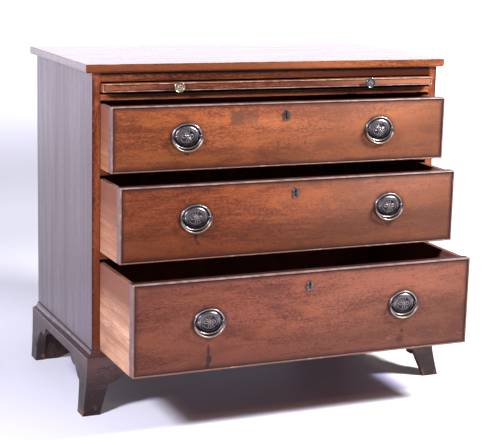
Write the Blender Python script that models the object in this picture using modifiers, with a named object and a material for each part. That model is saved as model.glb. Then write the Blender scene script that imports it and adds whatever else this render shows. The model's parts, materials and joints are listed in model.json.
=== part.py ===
"""Bachelor's chest: brushing slide, three cockbeaded drawers, splayed bracket feet.

Lengths are in metres, with X to the viewer's right, Y to the back and Z up.
The carcase hangs on an empty in the plane of the drawer openings, and each
moving body hangs on an empty of its own, at the place where the photo has it.
"""
import math

import bmesh
import bpy
from mathutils import Matrix, Vector

MM = 0.001

# Clearances
FIT = 0.3 * MM                 # between pieces that touch
OVERRUN = 4 * MM               # how far a cutter passes what it cuts
WELD = 0.003 * MM              # points nearer than this are one point

# Carcase, front plane to back, and heights from the floor up
CARCASE_WIDTH = 877 * MM
CARCASE_DEPTH = 456 * MM
PLINTH_HEIGHT = 128 * MM
BOTTOM_THICK = 17 * MM
DRAWERS = ("lower", "middle", "upper")
OPENING_HEIGHTS = (213.5 * MM, 175.5 * MM, 153 * MM)
RAIL_HEIGHTS = (17.5 * MM, 15 * MM, 13 * MM)     # the rail over each drawer
SLOT_HEIGHT = 28.7 * MM
TOP_RAIL_HEIGHT = 19.3 * MM
TOP_THICK = 19.5 * MM

TOP_OVER_FRONT = 8 * MM
TOP_OVER_SIDE = 16.5 * MM
TOP_OVER_BACK = 5 * MM
TOP_UNDER_ROUND = 6 * MM
TOP_UPPER_ARRIS = 1.2 * MM

SIDE_THICK = 19 * MM
BACK_THICK = 10 * MM
RABBET_WIDTH = 9 * MM
HOUSING_DEPTH = 5 * MM
HOUSING_STOP = 8 * MM
RAIL_DEPTH = 60 * MM
DUSTBOARD_THICK = 8 * MM
KICKER_WIDTH = 45 * MM

# Drawer stops on the boards that the drawers run on
STOP_WIDTH = 48 * MM
STOP_DEPTH = 22 * MM
STOP_HEIGHT = 6 * MM
STOP_PLACE_SHARE = 0.52

# Base moulding, plinth and feet
MOULDING_REACH = 15.3 * MM
MOULDING_FILLET = 4 * MM
MOULDING_QUIRK = 1.2 * MM
MOULDING_NECK = 2.6 * MM
PLINTH_THICK = 20 * MM
APRON_DEPTH = 20 * MM          # from the plinth's top down to the apron's lower edge
FRONT_FLARE = 15.5 * MM
REAR_FLARE = 4 * MM
FRONT_TOE_THICK = 11 * MM
FLARE_POWER = 1.4
FLARE_STEPS = 6
FRONT_FOOT_SPREAD = 136.7 * MM
FRONT_FOOT_SHARES = ((0.185, 0.0), (0.364, 0.62), (0.667, 0.833), (1.0, 1.0))
FRONT_SAG_SHARES = (0.0, 0.026, 0.062)
REAR_FOOT_SPREAD = 124.2 * MM
REAR_FOOT_SHARES = ((0.343, 0.0), (0.358, 0.23), (0.652, 0.82), (1.0, 1.0))
REAR_SAG_SHARES = (0.0, -0.08, 0.097)
GLUE_BLOCK = 24 * MM
GLUE_BLOCK_SEAT = 4 * MM
GLUE_BLOCK_HEIGHT = 77.7 * MM
BRACKET_THICK = 18 * MM
BRACKET_SET_IN = 22 * MM
BRACKET_SPREAD = 170 * MM
BRACKET_TOE_SHARE = 0.22
BRACKET_SLOPE_SHARE = 0.42

# Brushing slide
SLIDE_OPEN = 17.5 * MM
SLIDE_THICK = 18 * MM
SLIDE_BACK_GAP = 46 * MM       # left behind the slide when it is shut
SLIDE_SIDE_GAP = 1.4 * MM
SLIDE_EDGE_DEPTH = 26 * MM
SLIDE_BEAD = 2.6 * MM
SLIDE_BEAD_ROUND_SHARE = 0.9
SLIDE_FIELD_RECESS = 1.8 * MM
RUNNER_WIDTH = 26 * MM
RUNNER_HEIGHT = 6.2 * MM
RUNNER_SET_IN = 30 * MM
KNOB_RADIUS = 12.25 * MM
KNOB_REACH = 14 * MM
KNOB_SHANK_RADIUS = 2 * MM
KNOB_SHANK_LENGTH = 14 * MM
KNOB_STEPS = 16
# Share of KNOB_RADIUS, share of KNOB_REACH, from the face back to the rose
KNOB_SHARES = ((0.0, 1.0), (0.28, 0.98), (0.46, 0.84), (0.82, 0.9), (0.94, 1.0), (1.0, 0.9),
               (0.92, 0.76), (0.42, 0.56), (0.34, 0.2), (0.48, 0.14), (0.48, 0.0))

# Drawers
DRAWER_OPEN = (226.6 * MM, 137.8 * MM, 77.2 * MM)
DRAWER_SIDE_GAP = 1.2 * MM
DRAWER_TOP_GAP = 5 * MM
DRAWER_LIFT = 1.1 * MM
DRAWER_BACK_GAP = 16 * MM      # left behind a drawer when it is shut
FRONT_THICK = 22 * MM
DRAWER_SIDE_THICK = 11 * MM
DRAWER_BACK_THICK = 11 * MM
SIDE_DROP = 3.3 * MM
BACK_DROP = 3 * MM
PANEL_THICK = 6 * MM
PANEL_LOW = 9 * MM
GROOVE_DEPTH = 4.5 * MM
BEAD_WIDTH = 3 * MM
BEAD_PROUD = 2.5 * MM
BEAD_SEAT = 6 * MM
BEAD_STEPS = 4

# Dovetails
LAP_THICK = 7.5 * MM
TAIL_PITCH = 44 * MM
PIN_WIDTH = 4 * MM
TAIL_SPLAY = 2.2 * MM

# Oval handles
HANDLE_X = 242.7 * MM
HANDLE_HEIGHTS = (113.5 * MM, 96.8 * MM, 78.7 * MM)
PLATE_WIDTH = 74 * MM
PLATE_HEIGHT = 59 * MM
PLATE_RISE = 5.2 * MM
# Share of half the width, share of the rise, from the middle out to the rim
PLATE_SHARES = ((0.0, 0.62), (0.5, 0.52), (0.58, 0.44), (0.72, 1.0), (0.84, 0.4), (0.9, 0.6),
                (0.97, 0.62), (1.0, 0.3), (1.0, 0.0))
PLATE_STEPS = 24
POST_X = 29.5 * MM
POST_HEAD_RADIUS = 3.6 * MM
POST_NECK_RADIUS = 2.6 * MM
POST_STEPS = 8
PIVOT_OUT = 6.6 * MM
EYE_CLEARANCE = 0.4 * MM
EYE_DEPTH_SHARE = 0.6          # how far the eye goes in past the middle of the head
SHANK_RADIUS = 2.2 * MM
NUT_RADIUS = 6 * MM
NUT_THICK = 4.5 * MM
SHANK_END = 2.5 * MM
BAIL_RADIUS = 2.15 * MM
BAIL_PIN_RADIUS = 1.4 * MM
BAIL_HALF_WIDTH = 36.2 * MM
BAIL_DROP = 33.9 * MM
BAIL_CORNER = 3 * MM
BAIL_STEPS = 14

# Escutcheons, locks and bolts
KEYHOLE_DROPS = (33.6 * MM, 31.6 * MM, 30.4 * MM)
PILL_WIDTH = 16 * MM
PILL_HEIGHT = 25 * MM
PILL_THICK = 1.6 * MM
KEYHOLE_RADIUS = 2.5 * MM
KEYHOLE_SLOT = 3 * MM
KEYHOLE_HEIGHT = 13.8 * MM
LOCK_WIDTH = 64 * MM
LOCK_HEIGHT = 43 * MM
LOCK_DEPTH = 13.4 * MM
LOCK_KEYHOLE_DEPTH = 2.6 * MM
BOLT_WIDTH = 30 * MM
BOLT_THICK = 6 * MM
BOLT_LENGTH = 24 * MM
MORTISE_DEPTH = 6 * MM
MORTISE_CLEARANCE = 1 * MM

# Finishes: colour, roughness, metallic
MAHOGANY_FRONT = ((0.30, 0.105, 0.045), 0.38, 0.0)
MAHOGANY_TOP = ((0.25, 0.09, 0.05), 0.25, 0.0)
MAHOGANY_SIDE = ((0.17, 0.07, 0.05), 0.32, 0.0)
MAHOGANY_BASE = ((0.14, 0.05, 0.035), 0.45, 0.0)
OAK = ((0.50, 0.27, 0.14), 0.6, 0.0)
PINE = ((0.30, 0.17, 0.09), 0.75, 0.0)
BRASS = ((0.34, 0.30, 0.25), 0.35, 1.0)
IRON = ((0.16, 0.15, 0.14), 0.5, 1.0)

# Worked out from the sizes above
HALF_WIDTH = CARCASE_WIDTH / 2
INNER_HALF = HALF_WIDTH - SIDE_THICK
INNER_DEPTH = CARCASE_DEPTH - BACK_THICK
APRON_Z = PLINTH_HEIGHT - APRON_DEPTH
SLIDE_DEPTH = INNER_DEPTH - SLIDE_BACK_GAP
DRAWER_LENGTH = INNER_DEPTH - DRAWER_BACK_GAP
SLOT_FLOOR = PLINTH_HEIGHT + BOTTOM_THICK + sum(OPENING_HEIGHTS) + sum(RAIL_HEIGHTS)
CARCASE_TOP = SLOT_FLOOR + SLOT_HEIGHT + TOP_RAIL_HEIGHT
FRONT_HALF = INNER_HALF - DRAWER_SIDE_GAP
EYE_RADIUS = BAIL_PIN_RADIUS + EYE_CLEARANCE
BOLT_Y = FRONT_THICK - LOCK_DEPTH / 2
HANDLE_REACH = max(DRAWER_OPEN) + PIVOT_OUT + POST_HEAD_RADIUS
KNOB_FRONT = SLIDE_OPEN - SLIDE_FIELD_RECESS + KNOB_REACH
REACH = max(HANDLE_REACH, KNOB_FRONT, MOULDING_REACH + FRONT_FLARE, TOP_OVER_FRONT)
FRONT_Y = (REACH - CARCASE_DEPTH - TOP_OVER_BACK) / 2

# Turn a flat outline drawn in XY so that it faces along the named axis
FACING = {
    "X": Matrix(((0, 0, 1, 0), (1, 0, 0, 0), (0, 1, 0, 0), (0, 0, 0, 1))),
    "Y": Matrix(((1, 0, 0, 0), (0, 0, -1, 0), (0, 1, 0, 0), (0, 0, 0, 1))),
    "Z": Matrix.Identity(4),
}


def clear_scene():
    for obj in list(bpy.data.objects):
        bpy.data.objects.remove(obj, do_unlink=True)


def new_collection(name):
    collection = bpy.data.collections.new(name)
    bpy.context.scene.collection.children.link(collection)
    return collection


def link_only(obj, collection):
    """Put an object in one collection and take it out of all others."""
    for other in list(obj.users_collection):
        other.objects.unlink(obj)
    collection.objects.link(obj)


def frame_at(name, location, parent=None):
    """An empty that carries a body, placed relative to its parent."""
    empty = bpy.data.objects.new(name, None)
    empty.empty_display_size = OVERRUN
    empty.location = location
    empty.parent = parent
    PARTS.objects.link(empty)
    return empty


def finish(obj, look):
    """Give a piece its own material."""
    colour, roughness, metallic = look
    material = bpy.data.materials.new(obj.name)
    material.use_nodes = True
    shader = material.node_tree.nodes["Principled BSDF"]
    shader.inputs["Base Color"].default_value = (*colour, 1)
    shader.inputs["Roughness"].default_value = roughness
    shader.inputs["Metallic"].default_value = metallic
    material.diffuse_color = (*colour, 1)
    if len(obj.material_slots) == 0:
        obj.data.materials.append(None)
    obj.material_slots[0].link = "OBJECT"
    obj.material_slots[0].material = material


def piece(obj, parent, look):
    """Make an object one of the chest's pieces."""
    link_only(obj, PARTS)
    obj.parent = parent
    finish(obj, look)
    return obj


def cutter(obj, parent):
    """Make an object a guide for Boolean modifiers."""
    link_only(obj, CUTTERS)
    obj.parent = parent
    obj.hide_render = True
    obj.display_type = "WIRE"
    return obj


def combine(obj, other, operation):
    modifier = obj.modifiers.new(other.name, "BOOLEAN")
    modifier.operation = operation
    modifier.object = other


def cut(obj, other):
    combine(obj, other, "DIFFERENCE")


def join(obj, other):
    combine(obj, other, "UNION")


def evaluated_mesh(obj, merge_flat=False):
    """The mesh that an object's modifiers make, welded, with its flat faces merged if asked."""
    graph = bpy.context.evaluated_depsgraph_get()
    mesh = bpy.data.meshes.new_from_object(obj.evaluated_get(graph))
    bm = bmesh.new()
    bm.from_mesh(mesh)
    bmesh.ops.remove_doubles(bm, verts=bm.verts, dist=WELD)
    if merge_flat:
        bmesh.ops.dissolve_limit(bm, angle_limit=math.radians(0.1), verts=bm.verts, edges=bm.edges)
    bmesh.ops.recalc_face_normals(bm, faces=bm.faces)
    bm.to_mesh(mesh)
    bm.free()
    return mesh


def mesh_object(name, mesh):
    mesh.name = name
    obj = bpy.data.objects.new(name, mesh)
    bpy.context.scene.collection.objects.link(obj)
    return obj


def box(name, low, high):
    """A box between two corners."""
    centre = [(a + b) / 2 for a, b in zip(low, high)]
    bpy.ops.mesh.primitive_cube_add(size=1, location=centre)
    obj = bpy.context.active_object
    obj.name = name
    obj.data.name = name
    obj.scale = [b - a for a, b in zip(low, high)]
    bpy.ops.object.transform_apply(location=False, rotation=False, scale=True)
    return obj


def flat_solid(name, outlines, axis, low, high):
    """Closed outlines, the later ones holes, given thickness from low to high along an axis."""
    curve = bpy.data.curves.new(name, "CURVE")
    curve.dimensions = "2D"
    curve.fill_mode = "BOTH"
    curve.extrude = (high - low) / 2
    for outline in outlines:
        spline = curve.splines.new("POLY")
        spline.points.add(len(outline) - 1)
        for point, place in zip(spline.points, outline):
            point.co = (*place, 0, 1)
        spline.use_cyclic_u = True
    drawn = bpy.data.objects.new(name, curve)
    bpy.context.scene.collection.objects.link(drawn)
    mesh = evaluated_mesh(drawn, merge_flat=True)
    bpy.data.objects.remove(drawn)
    mesh.transform(FACING[axis])
    obj = mesh_object(name, mesh)
    obj.location["XYZ".index(axis)] = (low + high) / 2
    return obj


def turned(name, profile, steps):
    """A profile of (radius, height), top to bottom, turned about Z."""
    mesh = bpy.data.meshes.new(name)
    places = [(radius, 0, height) for radius, height in profile]
    mesh.from_pydata(places, [(i, i + 1) for i in range(len(places) - 1)], [])
    obj = mesh_object(name, mesh)
    screw = obj.modifiers.new("turn", "SCREW")
    screw.axis = "Z"
    screw.steps = steps
    screw.render_steps = steps
    screw.use_merge_vertices = True
    screw.merge_threshold = WELD
    made = evaluated_mesh(obj)
    bpy.data.objects.remove(obj)
    made.shade_smooth()
    made.set_sharp_from_angle(angle=math.radians(50))
    return mesh_object(name, made)


def mitred_frame(name, outline, section):
    """A section of (inset, depth) carried round an upright rectangle, mitred at its corners."""
    left, right, low, high = outline
    bm = bmesh.new()
    rings = []
    for inset, depth in section:
        corners = ((left + inset, low + inset), (right - inset, low + inset),
                   (right - inset, high - inset), (left + inset, high - inset))
        rings.append([bm.verts.new((x, depth, z)) for x, z in corners])
    for ring, following in zip(rings, rings[1:] + rings[:1]):
        for here, there in zip(range(4), (1, 2, 3, 0)):
            bm.faces.new((ring[here], ring[there], following[there], following[here]))
    bmesh.ops.recalc_face_normals(bm, faces=bm.faces)
    mesh = bpy.data.meshes.new(name)
    bm.to_mesh(mesh)
    bm.free()
    return mesh_object(name, mesh)


def rod(name, radius, axis, low, high, centre, sides=POST_STEPS):
    """A cylinder along an axis, from low to high, about a centre in the other two."""
    bpy.ops.mesh.primitive_cylinder_add(vertices=sides, radius=radius, depth=high - low)
    obj = bpy.context.active_object
    obj.name = name
    obj.data.transform(FACING[axis])
    place = list(centre)
    place.insert("XYZ".index(axis), (low + high) / 2)
    obj.location = place
    return obj


def slice_off(obj, point, normal):
    """Take off what lies on the normal's side of a plane, and close the cut."""
    bm = bmesh.new()
    bm.from_mesh(obj.data)
    geometry = bm.verts[:] + bm.edges[:] + bm.faces[:]
    bmesh.ops.bisect_plane(bm, geom=geometry, plane_co=Vector(point) - obj.location,
                           plane_no=Vector(normal), clear_outer=True)
    bmesh.ops.holes_fill(bm, edges=[edge for edge in bm.edges if edge.is_boundary])
    bmesh.ops.recalc_face_normals(bm, faces=bm.faces)
    bm.to_mesh(obj.data)
    bm.free()


def round_edges(obj, chosen, width, segments):
    """Bevel the edges whose two ends pass a test."""
    bm = bmesh.new()
    bm.from_mesh(obj.data)
    edges = [edge for edge in bm.edges if all(chosen(vert.co + obj.location) for vert in edge.verts)]
    bmesh.ops.bevel(bm, geom=edges, offset=width, segments=segments, profile=0.5, affect="EDGES")
    bm.to_mesh(obj.data)
    bm.free()


def arc(start, end, sag, steps=5):
    """Points after start, up to end, on an arc whose middle stands sag right of the chord."""
    if sag == 0:
        return [end]
    start, end = Vector(start), Vector(end)
    length = (end - start).length
    along = (end - start) / length
    right = Vector((along.y, -along.x))
    radius = (length ** 2 / 4 + sag ** 2) / (2 * sag)
    centre = (start + end) / 2 + right * (sag - radius)
    half = math.asin(length / 2 / radius)
    angles = [half * (2 * step / steps - 1) for step in range(1, steps + 1)]
    return [tuple(centre + radius * (right * math.cos(a) + along * math.sin(a))) for a in angles]


def ellipse(half_u, half_v, first, last, steps, centre=(0, 0)):
    """Points on an ellipse from the first angle to the last, in degrees."""
    points = []
    for step in range(steps + 1):
        angle = math.radians(first + (last - first) * step / steps)
        points.append((centre[0] + half_u * math.cos(angle), centre[1] + half_v * math.sin(angle)))
    return points


def rectangle(half_u, low_v, high_v):
    return [(-half_u, low_v), (half_u, low_v), (half_u, high_v), (-half_u, high_v)]


def side_name(sign):
    return "left" if sign < 0 else "right"


def opening_floor(index):
    """Height of the surface that a drawer runs on, counted from the lowest drawer."""
    carried = PLINTH_HEIGHT + BOTTOM_THICK
    return carried + sum(OPENING_HEIGHTS[:index]) + sum(RAIL_HEIGHTS[:index])


def front_top(index):
    """Height of a drawer front's top edge over the surface that the drawer runs on."""
    return OPENING_HEIGHTS[index] - DRAWER_TOP_GAP


def make_top(parent):
    top = box("top_board",
              (-HALF_WIDTH - TOP_OVER_SIDE, -TOP_OVER_FRONT, CARCASE_TOP),
              (HALF_WIDTH + TOP_OVER_SIDE, CARCASE_DEPTH + TOP_OVER_BACK, CARCASE_TOP + TOP_THICK))
    middle = CARCASE_TOP + TOP_THICK / 2
    round_edges(top, lambda co: co.z > middle, TOP_UPPER_ARRIS, 2)
    round_edges(top, lambda co: co.z < middle, TOP_UNDER_ROUND, 4)
    piece(top, parent, MAHOGANY_TOP)


def make_side_panel(sign, parent):
    """A side board with stopped housings, and a rabbet for the back."""
    name = "side_panel_" + side_name(sign)
    inner = sign * INNER_HALF
    outer = sign * HALF_WIDTH
    panel = box(name, (min(inner, outer), 0, PLINTH_HEIGHT),
                (max(inner, outer), CARCASE_DEPTH, CARCASE_TOP - FIT))
    open_side = inner - sign * OVERRUN
    housed = inner + sign * HOUSING_DEPTH
    levels = [(PLINTH_HEIGHT - OVERRUN, opening_floor(0))]
    for index in range(len(DRAWERS)):
        floor = opening_floor(index + 1)
        levels.append((floor - RAIL_HEIGHTS[index], floor))
    levels.append((SLOT_FLOOR + SLOT_HEIGHT, CARCASE_TOP + OVERRUN))
    for number, (low, high) in enumerate(levels):
        housing = box(f"{name}_housing_{number}",
                      (min(open_side, housed), HOUSING_STOP - FIT, low - FIT),
                      (max(open_side, housed), INNER_DEPTH + OVERRUN, high + FIT))
        cut(panel, cutter(housing, parent))
    rabbet_end = inner + sign * RABBET_WIDTH
    rabbet = box(name + "_rabbet",
                 (min(open_side, rabbet_end), INNER_DEPTH - FIT, PLINTH_HEIGHT - OVERRUN),
                 (max(open_side, rabbet_end), CARCASE_DEPTH + OVERRUN, CARCASE_TOP + OVERRUN))
    cut(panel, cutter(rabbet, parent))
    piece(panel, parent, MAHOGANY_SIDE)


def housed_board(name, low, high, parent):
    """A board with its ends in the side panels' stopped housings."""
    wide = INNER_HALF + HOUSING_DEPTH - FIT
    board = box(name, (-wide, 0, low), (wide, INNER_DEPTH - 2 * FIT, high))
    for sign in (-1, 1):
        ends = (sign * (INNER_HALF - FIT), sign * (wide + OVERRUN))
        notch = box(f"{name}_notch_{side_name(sign)}", (min(ends), -OVERRUN, low - OVERRUN),
                    (max(ends), HOUSING_STOP, high + OVERRUN))
        cut(board, cutter(notch, parent))
    return board


def add_stops(board, floor, parent):
    """Two blocks that a closed drawer's front comes up against."""
    for sign in (-1, 1):
        middle = sign * STOP_PLACE_SHARE * INNER_HALF
        low = (middle - STOP_WIDTH / 2, FRONT_THICK + FIT, floor - DUSTBOARD_THICK / 2)
        high = (middle + STOP_WIDTH / 2, FRONT_THICK + FIT + STOP_DEPTH, floor + STOP_HEIGHT)
        stop = box(f"{board.name}_stop_{side_name(sign)}", low, high)
        join(board, cutter(stop, parent))


def add_runners(board, parent):
    """Two strips that carry the slide clear of its rail."""
    for sign in (-1, 1):
        outer = sign * (INNER_HALF - FIT)
        inner = outer - sign * RUNNER_WIDTH
        low = (min(outer, inner), RUNNER_SET_IN, SLOT_FLOOR - DUSTBOARD_THICK / 2)
        high = (max(outer, inner), INNER_DEPTH - 2 * FIT, SLOT_FLOOR + RUNNER_HEIGHT)
        runner = box(f"{board.name}_runner_{side_name(sign)}", low, high)
        join(board, cutter(runner, parent))


def cut_mortise(board, underside, parent):
    """A blind mortise that takes the bolt of the lock below."""
    half_x = BOLT_WIDTH / 2 + MORTISE_CLEARANCE
    half_y = BOLT_THICK / 2 + MORTISE_CLEARANCE
    mortise = box(board.name + "_mortise",
                  (-half_x, BOLT_Y - half_y, underside - OVERRUN),
                  (half_x, BOLT_Y + half_y, underside + MORTISE_DEPTH))
    cut(board, cutter(mortise, parent))


def make_web_frame(index, name, parent):
    """A front rail with a thinner dustboard behind it, over one drawer."""
    top = opening_floor(index + 1)
    low = top - RAIL_HEIGHTS[index]
    board = housed_board(name, low, top, parent)
    recess = box(name + "_recess", (-HALF_WIDTH, RAIL_DEPTH, low - OVERRUN),
                 (HALF_WIDTH, CARCASE_DEPTH, top - DUSTBOARD_THICK))
    cut(board, cutter(recess, parent))
    cut_mortise(board, low, parent)
    if index + 1 < len(DRAWERS):
        add_stops(board, top, parent)
    else:
        add_runners(board, parent)
    piece(board, parent, MAHOGANY_FRONT)


def make_bottom_board(parent):
    board = housed_board("bottom_board", PLINTH_HEIGHT, opening_floor(0), parent)
    add_stops(board, opening_floor(0), parent)
    piece(board, parent, PINE)


def make_top_rail(parent):
    """The rail over the slide, with a kicker along each side."""
    low = SLOT_FLOOR + SLOT_HEIGHT
    rail = housed_board("top_rail", low, CARCASE_TOP - FIT, parent)
    inside = INNER_HALF - KICKER_WIDTH
    space = box("top_rail_space", (-inside, RAIL_DEPTH, low - OVERRUN),
                (inside, CARCASE_DEPTH, CARCASE_TOP + OVERRUN))
    cut(rail, cutter(space, parent))
    piece(rail, parent, MAHOGANY_FRONT)


def make_back(parent):
    half = INNER_HALF + RABBET_WIDTH - FIT
    back = box("back_panel", (-half, INNER_DEPTH, PLINTH_HEIGHT),
               (half, CARCASE_DEPTH, CARCASE_TOP - FIT))
    piece(back, parent, PINE)


def moulding_section():
    """The base moulding on end: out from the carcase, and up."""
    low = PLINTH_HEIGHT
    high = opening_floor(0) - FIT
    fillet = low + MOULDING_FILLET
    start = MOULDING_REACH - MOULDING_QUIRK
    cove = ellipse(start - MOULDING_NECK, high - MOULDING_QUIRK - fillet, 270, 180, 5,
                   (start, high - MOULDING_QUIRK))
    return [(FIT, low), (MOULDING_REACH, low), (MOULDING_REACH, fillet), *cove,
            (MOULDING_NECK, high), (FIT, high)]


def flare(height, reach):
    """How far a foot stands out past the plinth's face at a height."""
    return reach * max(0.0, 1 - height / APRON_Z) ** FLARE_POWER


def plinth_section(reach, toe):
    """A plinth board on end, with its foot splayed by reach and toe thick at the floor."""
    levels = [APRON_Z * (1 - step / FLARE_STEPS) for step in range(FLARE_STEPS + 1)]
    outer = [(MOULDING_REACH + flare(z, reach), z) for z in levels]
    inner = []
    for place, z in outer:
        low_share = 1 - z / APRON_Z
        inner.append((place - PLINTH_THICK + (PLINTH_THICK - toe) * low_share ** FLARE_POWER, z))
    top = PLINTH_HEIGHT - FIT
    return ([(MOULDING_REACH, top)] + outer + inner[::-1]
            + [(MOULDING_REACH - PLINTH_THICK, top)])


def foot_edge(spread, shares, sag_shares):
    """A foot's shaped edge: in from the plinth's corner, and up, from floor to apron."""
    corners = [(spread * along, APRON_Z * up) for along, up in shares]
    points = [corners[0]]
    for number, sag_share in enumerate(sag_shares):
        points += arc(corners[number], corners[number + 1], sag_share * spread)
    return points


def slice_mitre(obj, sign, keeps_front):
    """Cut a front piece or a side piece to its half of the mitre at a front corner."""
    turn = 1 if keeps_front else -1
    normal = Vector((sign * turn, turn, 0)).normalized()
    slice_off(obj, Vector((sign * HALF_WIDTH, 0, 0)) - normal * FIT / 2, normal)


def make_mouldings(parent):
    section = moulding_section()
    long_half = HALF_WIDTH + MOULDING_REACH + OVERRUN
    front = flat_solid("base_moulding_front", [[(-out, z) for out, z in section]], "X",
                       -long_half, long_half)
    for sign in (-1, 1):
        slice_mitre(front, sign, True)
        outline = [(sign * (HALF_WIDTH + out), z) for out, z in section]
        side = flat_solid("base_moulding_" + side_name(sign), [outline], "Y",
                          -MOULDING_REACH - OVERRUN, CARCASE_DEPTH)
        slice_mitre(side, sign, False)
        piece(side, parent, MAHOGANY_BASE)
    piece(front, parent, MAHOGANY_BASE)


def front_foot_edge():
    return foot_edge(FRONT_FOOT_SPREAD, FRONT_FOOT_SHARES, FRONT_SAG_SHARES)


def make_plinth_front(parent):
    section = plinth_section(FRONT_FLARE, FRONT_TOE_THICK)
    long_half = HALF_WIDTH + MOULDING_REACH + FRONT_FLARE + OVERRUN
    board = flat_solid("plinth_front", [[(-out, z) for out, z in section]], "X",
                       -long_half, long_half)
    for sign in (-1, 1):
        slice_mitre(board, sign, True)
    corner = HALF_WIDTH + MOULDING_REACH
    right = [(corner - along, z) for along, z in front_foot_edge()]
    right = [(right[0][0], -OVERRUN)] + right
    left = [(-x, z) for x, z in right[::-1]]
    deep = MOULDING_REACH + FRONT_FLARE + OVERRUN
    opening = flat_solid("plinth_front_opening", [right + left], "Y", -deep, PLINTH_THICK + OVERRUN)
    cut(board, cutter(opening, parent))
    piece(board, parent, MAHOGANY_BASE)


def make_plinth_side(sign, parent):
    """A side plinth board: a splayed front foot, a plainer rear foot and a glue block."""
    name = "plinth_" + side_name(sign)
    middle = CARCASE_DEPTH / 2
    front_section = plinth_section(FRONT_FLARE, FRONT_TOE_THICK)
    rear_section = plinth_section(REAR_FLARE, PLINTH_THICK + REAR_FLARE)
    front_outline = [(sign * (HALF_WIDTH + out), z) for out, z in front_section]
    rear_outline = [(sign * (HALF_WIDTH + out), z) for out, z in rear_section]
    board = flat_solid(name, [front_outline], "Y",
                       -MOULDING_REACH - FRONT_FLARE - OVERRUN, middle + OVERRUN)
    slice_mitre(board, sign, False)
    rear = flat_solid(name + "_rear", [rear_outline], "Y", middle, CARCASE_DEPTH)
    join(board, cutter(rear, parent))

    front_edge = [(along - MOULDING_REACH, z) for along, z in front_foot_edge()]
    rear_edge = foot_edge(REAR_FOOT_SPREAD, REAR_FOOT_SHARES, REAR_SAG_SHARES)
    rear_edge = [(CARCASE_DEPTH - along, z) for along, z in rear_edge[::-1]]
    outline = ([(front_edge[0][0], -OVERRUN)] + front_edge + rear_edge
               + [(rear_edge[-1][0], -OVERRUN)])
    reach = HALF_WIDTH + MOULDING_REACH + FRONT_FLARE + OVERRUN
    inner = HALF_WIDTH - PLINTH_THICK - OVERRUN
    opening = flat_solid(name + "_opening", [outline], "X",
                         min(sign * inner, sign * reach), max(sign * inner, sign * reach))
    cut(board, cutter(opening, parent))

    inner_face = HALF_WIDTH + MOULDING_REACH - PLINTH_THICK
    ends = (sign * (inner_face - GLUE_BLOCK), sign * (inner_face + GLUE_BLOCK_SEAT))
    start = PLINTH_THICK - MOULDING_REACH + FIT
    block_top = PLINTH_HEIGHT - FIT
    block = box(name + "_block", (min(ends), start, block_top - GLUE_BLOCK_HEIGHT),
                (max(ends), start + GLUE_BLOCK, block_top))
    join(board, cutter(block, parent))
    piece(board, parent, MAHOGANY_BASE)


def make_rear_bracket(sign, parent):
    """A plain sloping board behind a rear foot."""
    top = PLINTH_HEIGHT - FIT
    outer = HALF_WIDTH + MOULDING_REACH - PLINTH_THICK - FIT
    shares = ((0, 0), (BRACKET_TOE_SHARE, 0), (1, BRACKET_SLOPE_SHARE), (1, 1), (0, 1))
    outline = [(sign * (outer - along * BRACKET_SPREAD), up * top) for along, up in shares]
    back = CARCASE_DEPTH - BRACKET_SET_IN
    bracket = flat_solid("rear_bracket_" + side_name(sign), [outline], "Y",
                         back - BRACKET_THICK, back)
    piece(bracket, parent, PINE)


def make_slide(parent):
    """The brushing slide: a board with a beaded front edge and two turned knobs."""
    half = INNER_HALF - SLIDE_SIDE_GAP
    frame = frame_at("slide_frame", (0, -SLIDE_OPEN, SLOT_FLOOR + RUNNER_HEIGHT + FIT), parent)
    board = box("slide_board", (-half, SLIDE_EDGE_DEPTH + FIT, 0), (half, SLIDE_DEPTH, SLIDE_THICK))
    piece(board, frame, MAHOGANY_TOP)

    nose = SLIDE_BEAD / 2
    low_bead = arc((nose, 0), (nose, SLIDE_BEAD), -nose * SLIDE_BEAD_ROUND_SHARE, 4)
    high_bead = [(y, z + SLIDE_THICK - SLIDE_BEAD) for y, z in [(nose, 0)] + low_bead]
    section = ([(SLIDE_EDGE_DEPTH, 0), (nose, 0)] + low_bead
               + [(SLIDE_FIELD_RECESS, SLIDE_BEAD), (SLIDE_FIELD_RECESS, SLIDE_THICK - SLIDE_BEAD)]
               + high_bead + [(SLIDE_EDGE_DEPTH, SLIDE_THICK)])
    edge = flat_solid("slide_front_edge", [section], "X", -half, half)
    for sign in (-1, 1):
        centre = (sign * HANDLE_X, SLIDE_THICK / 2)
        hole = rod("slide_hole_" + side_name(sign), KNOB_SHANK_RADIUS + FIT, "Y",
                   -OVERRUN, SLIDE_FIELD_RECESS + KNOB_SHANK_LENGTH + FIT, centre)
        cut(edge, cutter(hole, frame))
        make_knob(sign, frame)
    piece(edge, frame, MAHOGANY_FRONT)


def make_knob(sign, parent):
    profile = [(r * KNOB_RADIUS, FIT + h * (KNOB_REACH - FIT)) for r, h in KNOB_SHARES]
    profile += [(KNOB_SHANK_RADIUS, FIT), (KNOB_SHANK_RADIUS, -KNOB_SHANK_LENGTH),
                (0, -KNOB_SHANK_LENGTH)]
    knob = turned("slide_knob_" + side_name(sign), profile, KNOB_STEPS)
    knob.location = (sign * HANDLE_X, SLIDE_FIELD_RECESS, SLIDE_THICK / 2)
    knob.rotation_euler = (math.radians(90), 0, 0)
    piece(knob, parent, BRASS)


def keyhole_outline(height):
    """A round with a slot below it, about a centre at a height."""
    middle = height + KEYHOLE_HEIGHT / 2 - KEYHOLE_RADIUS
    half = KEYHOLE_SLOT / 2
    turn = math.degrees(math.asin(half / KEYHOLE_RADIUS))
    low = height - KEYHOLE_HEIGHT / 2
    points = ellipse(KEYHOLE_RADIUS, KEYHOLE_RADIUS, turn - 90, 270 - turn, 8, (0, middle))
    return [(-half, low), (half, low)] + points


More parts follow.
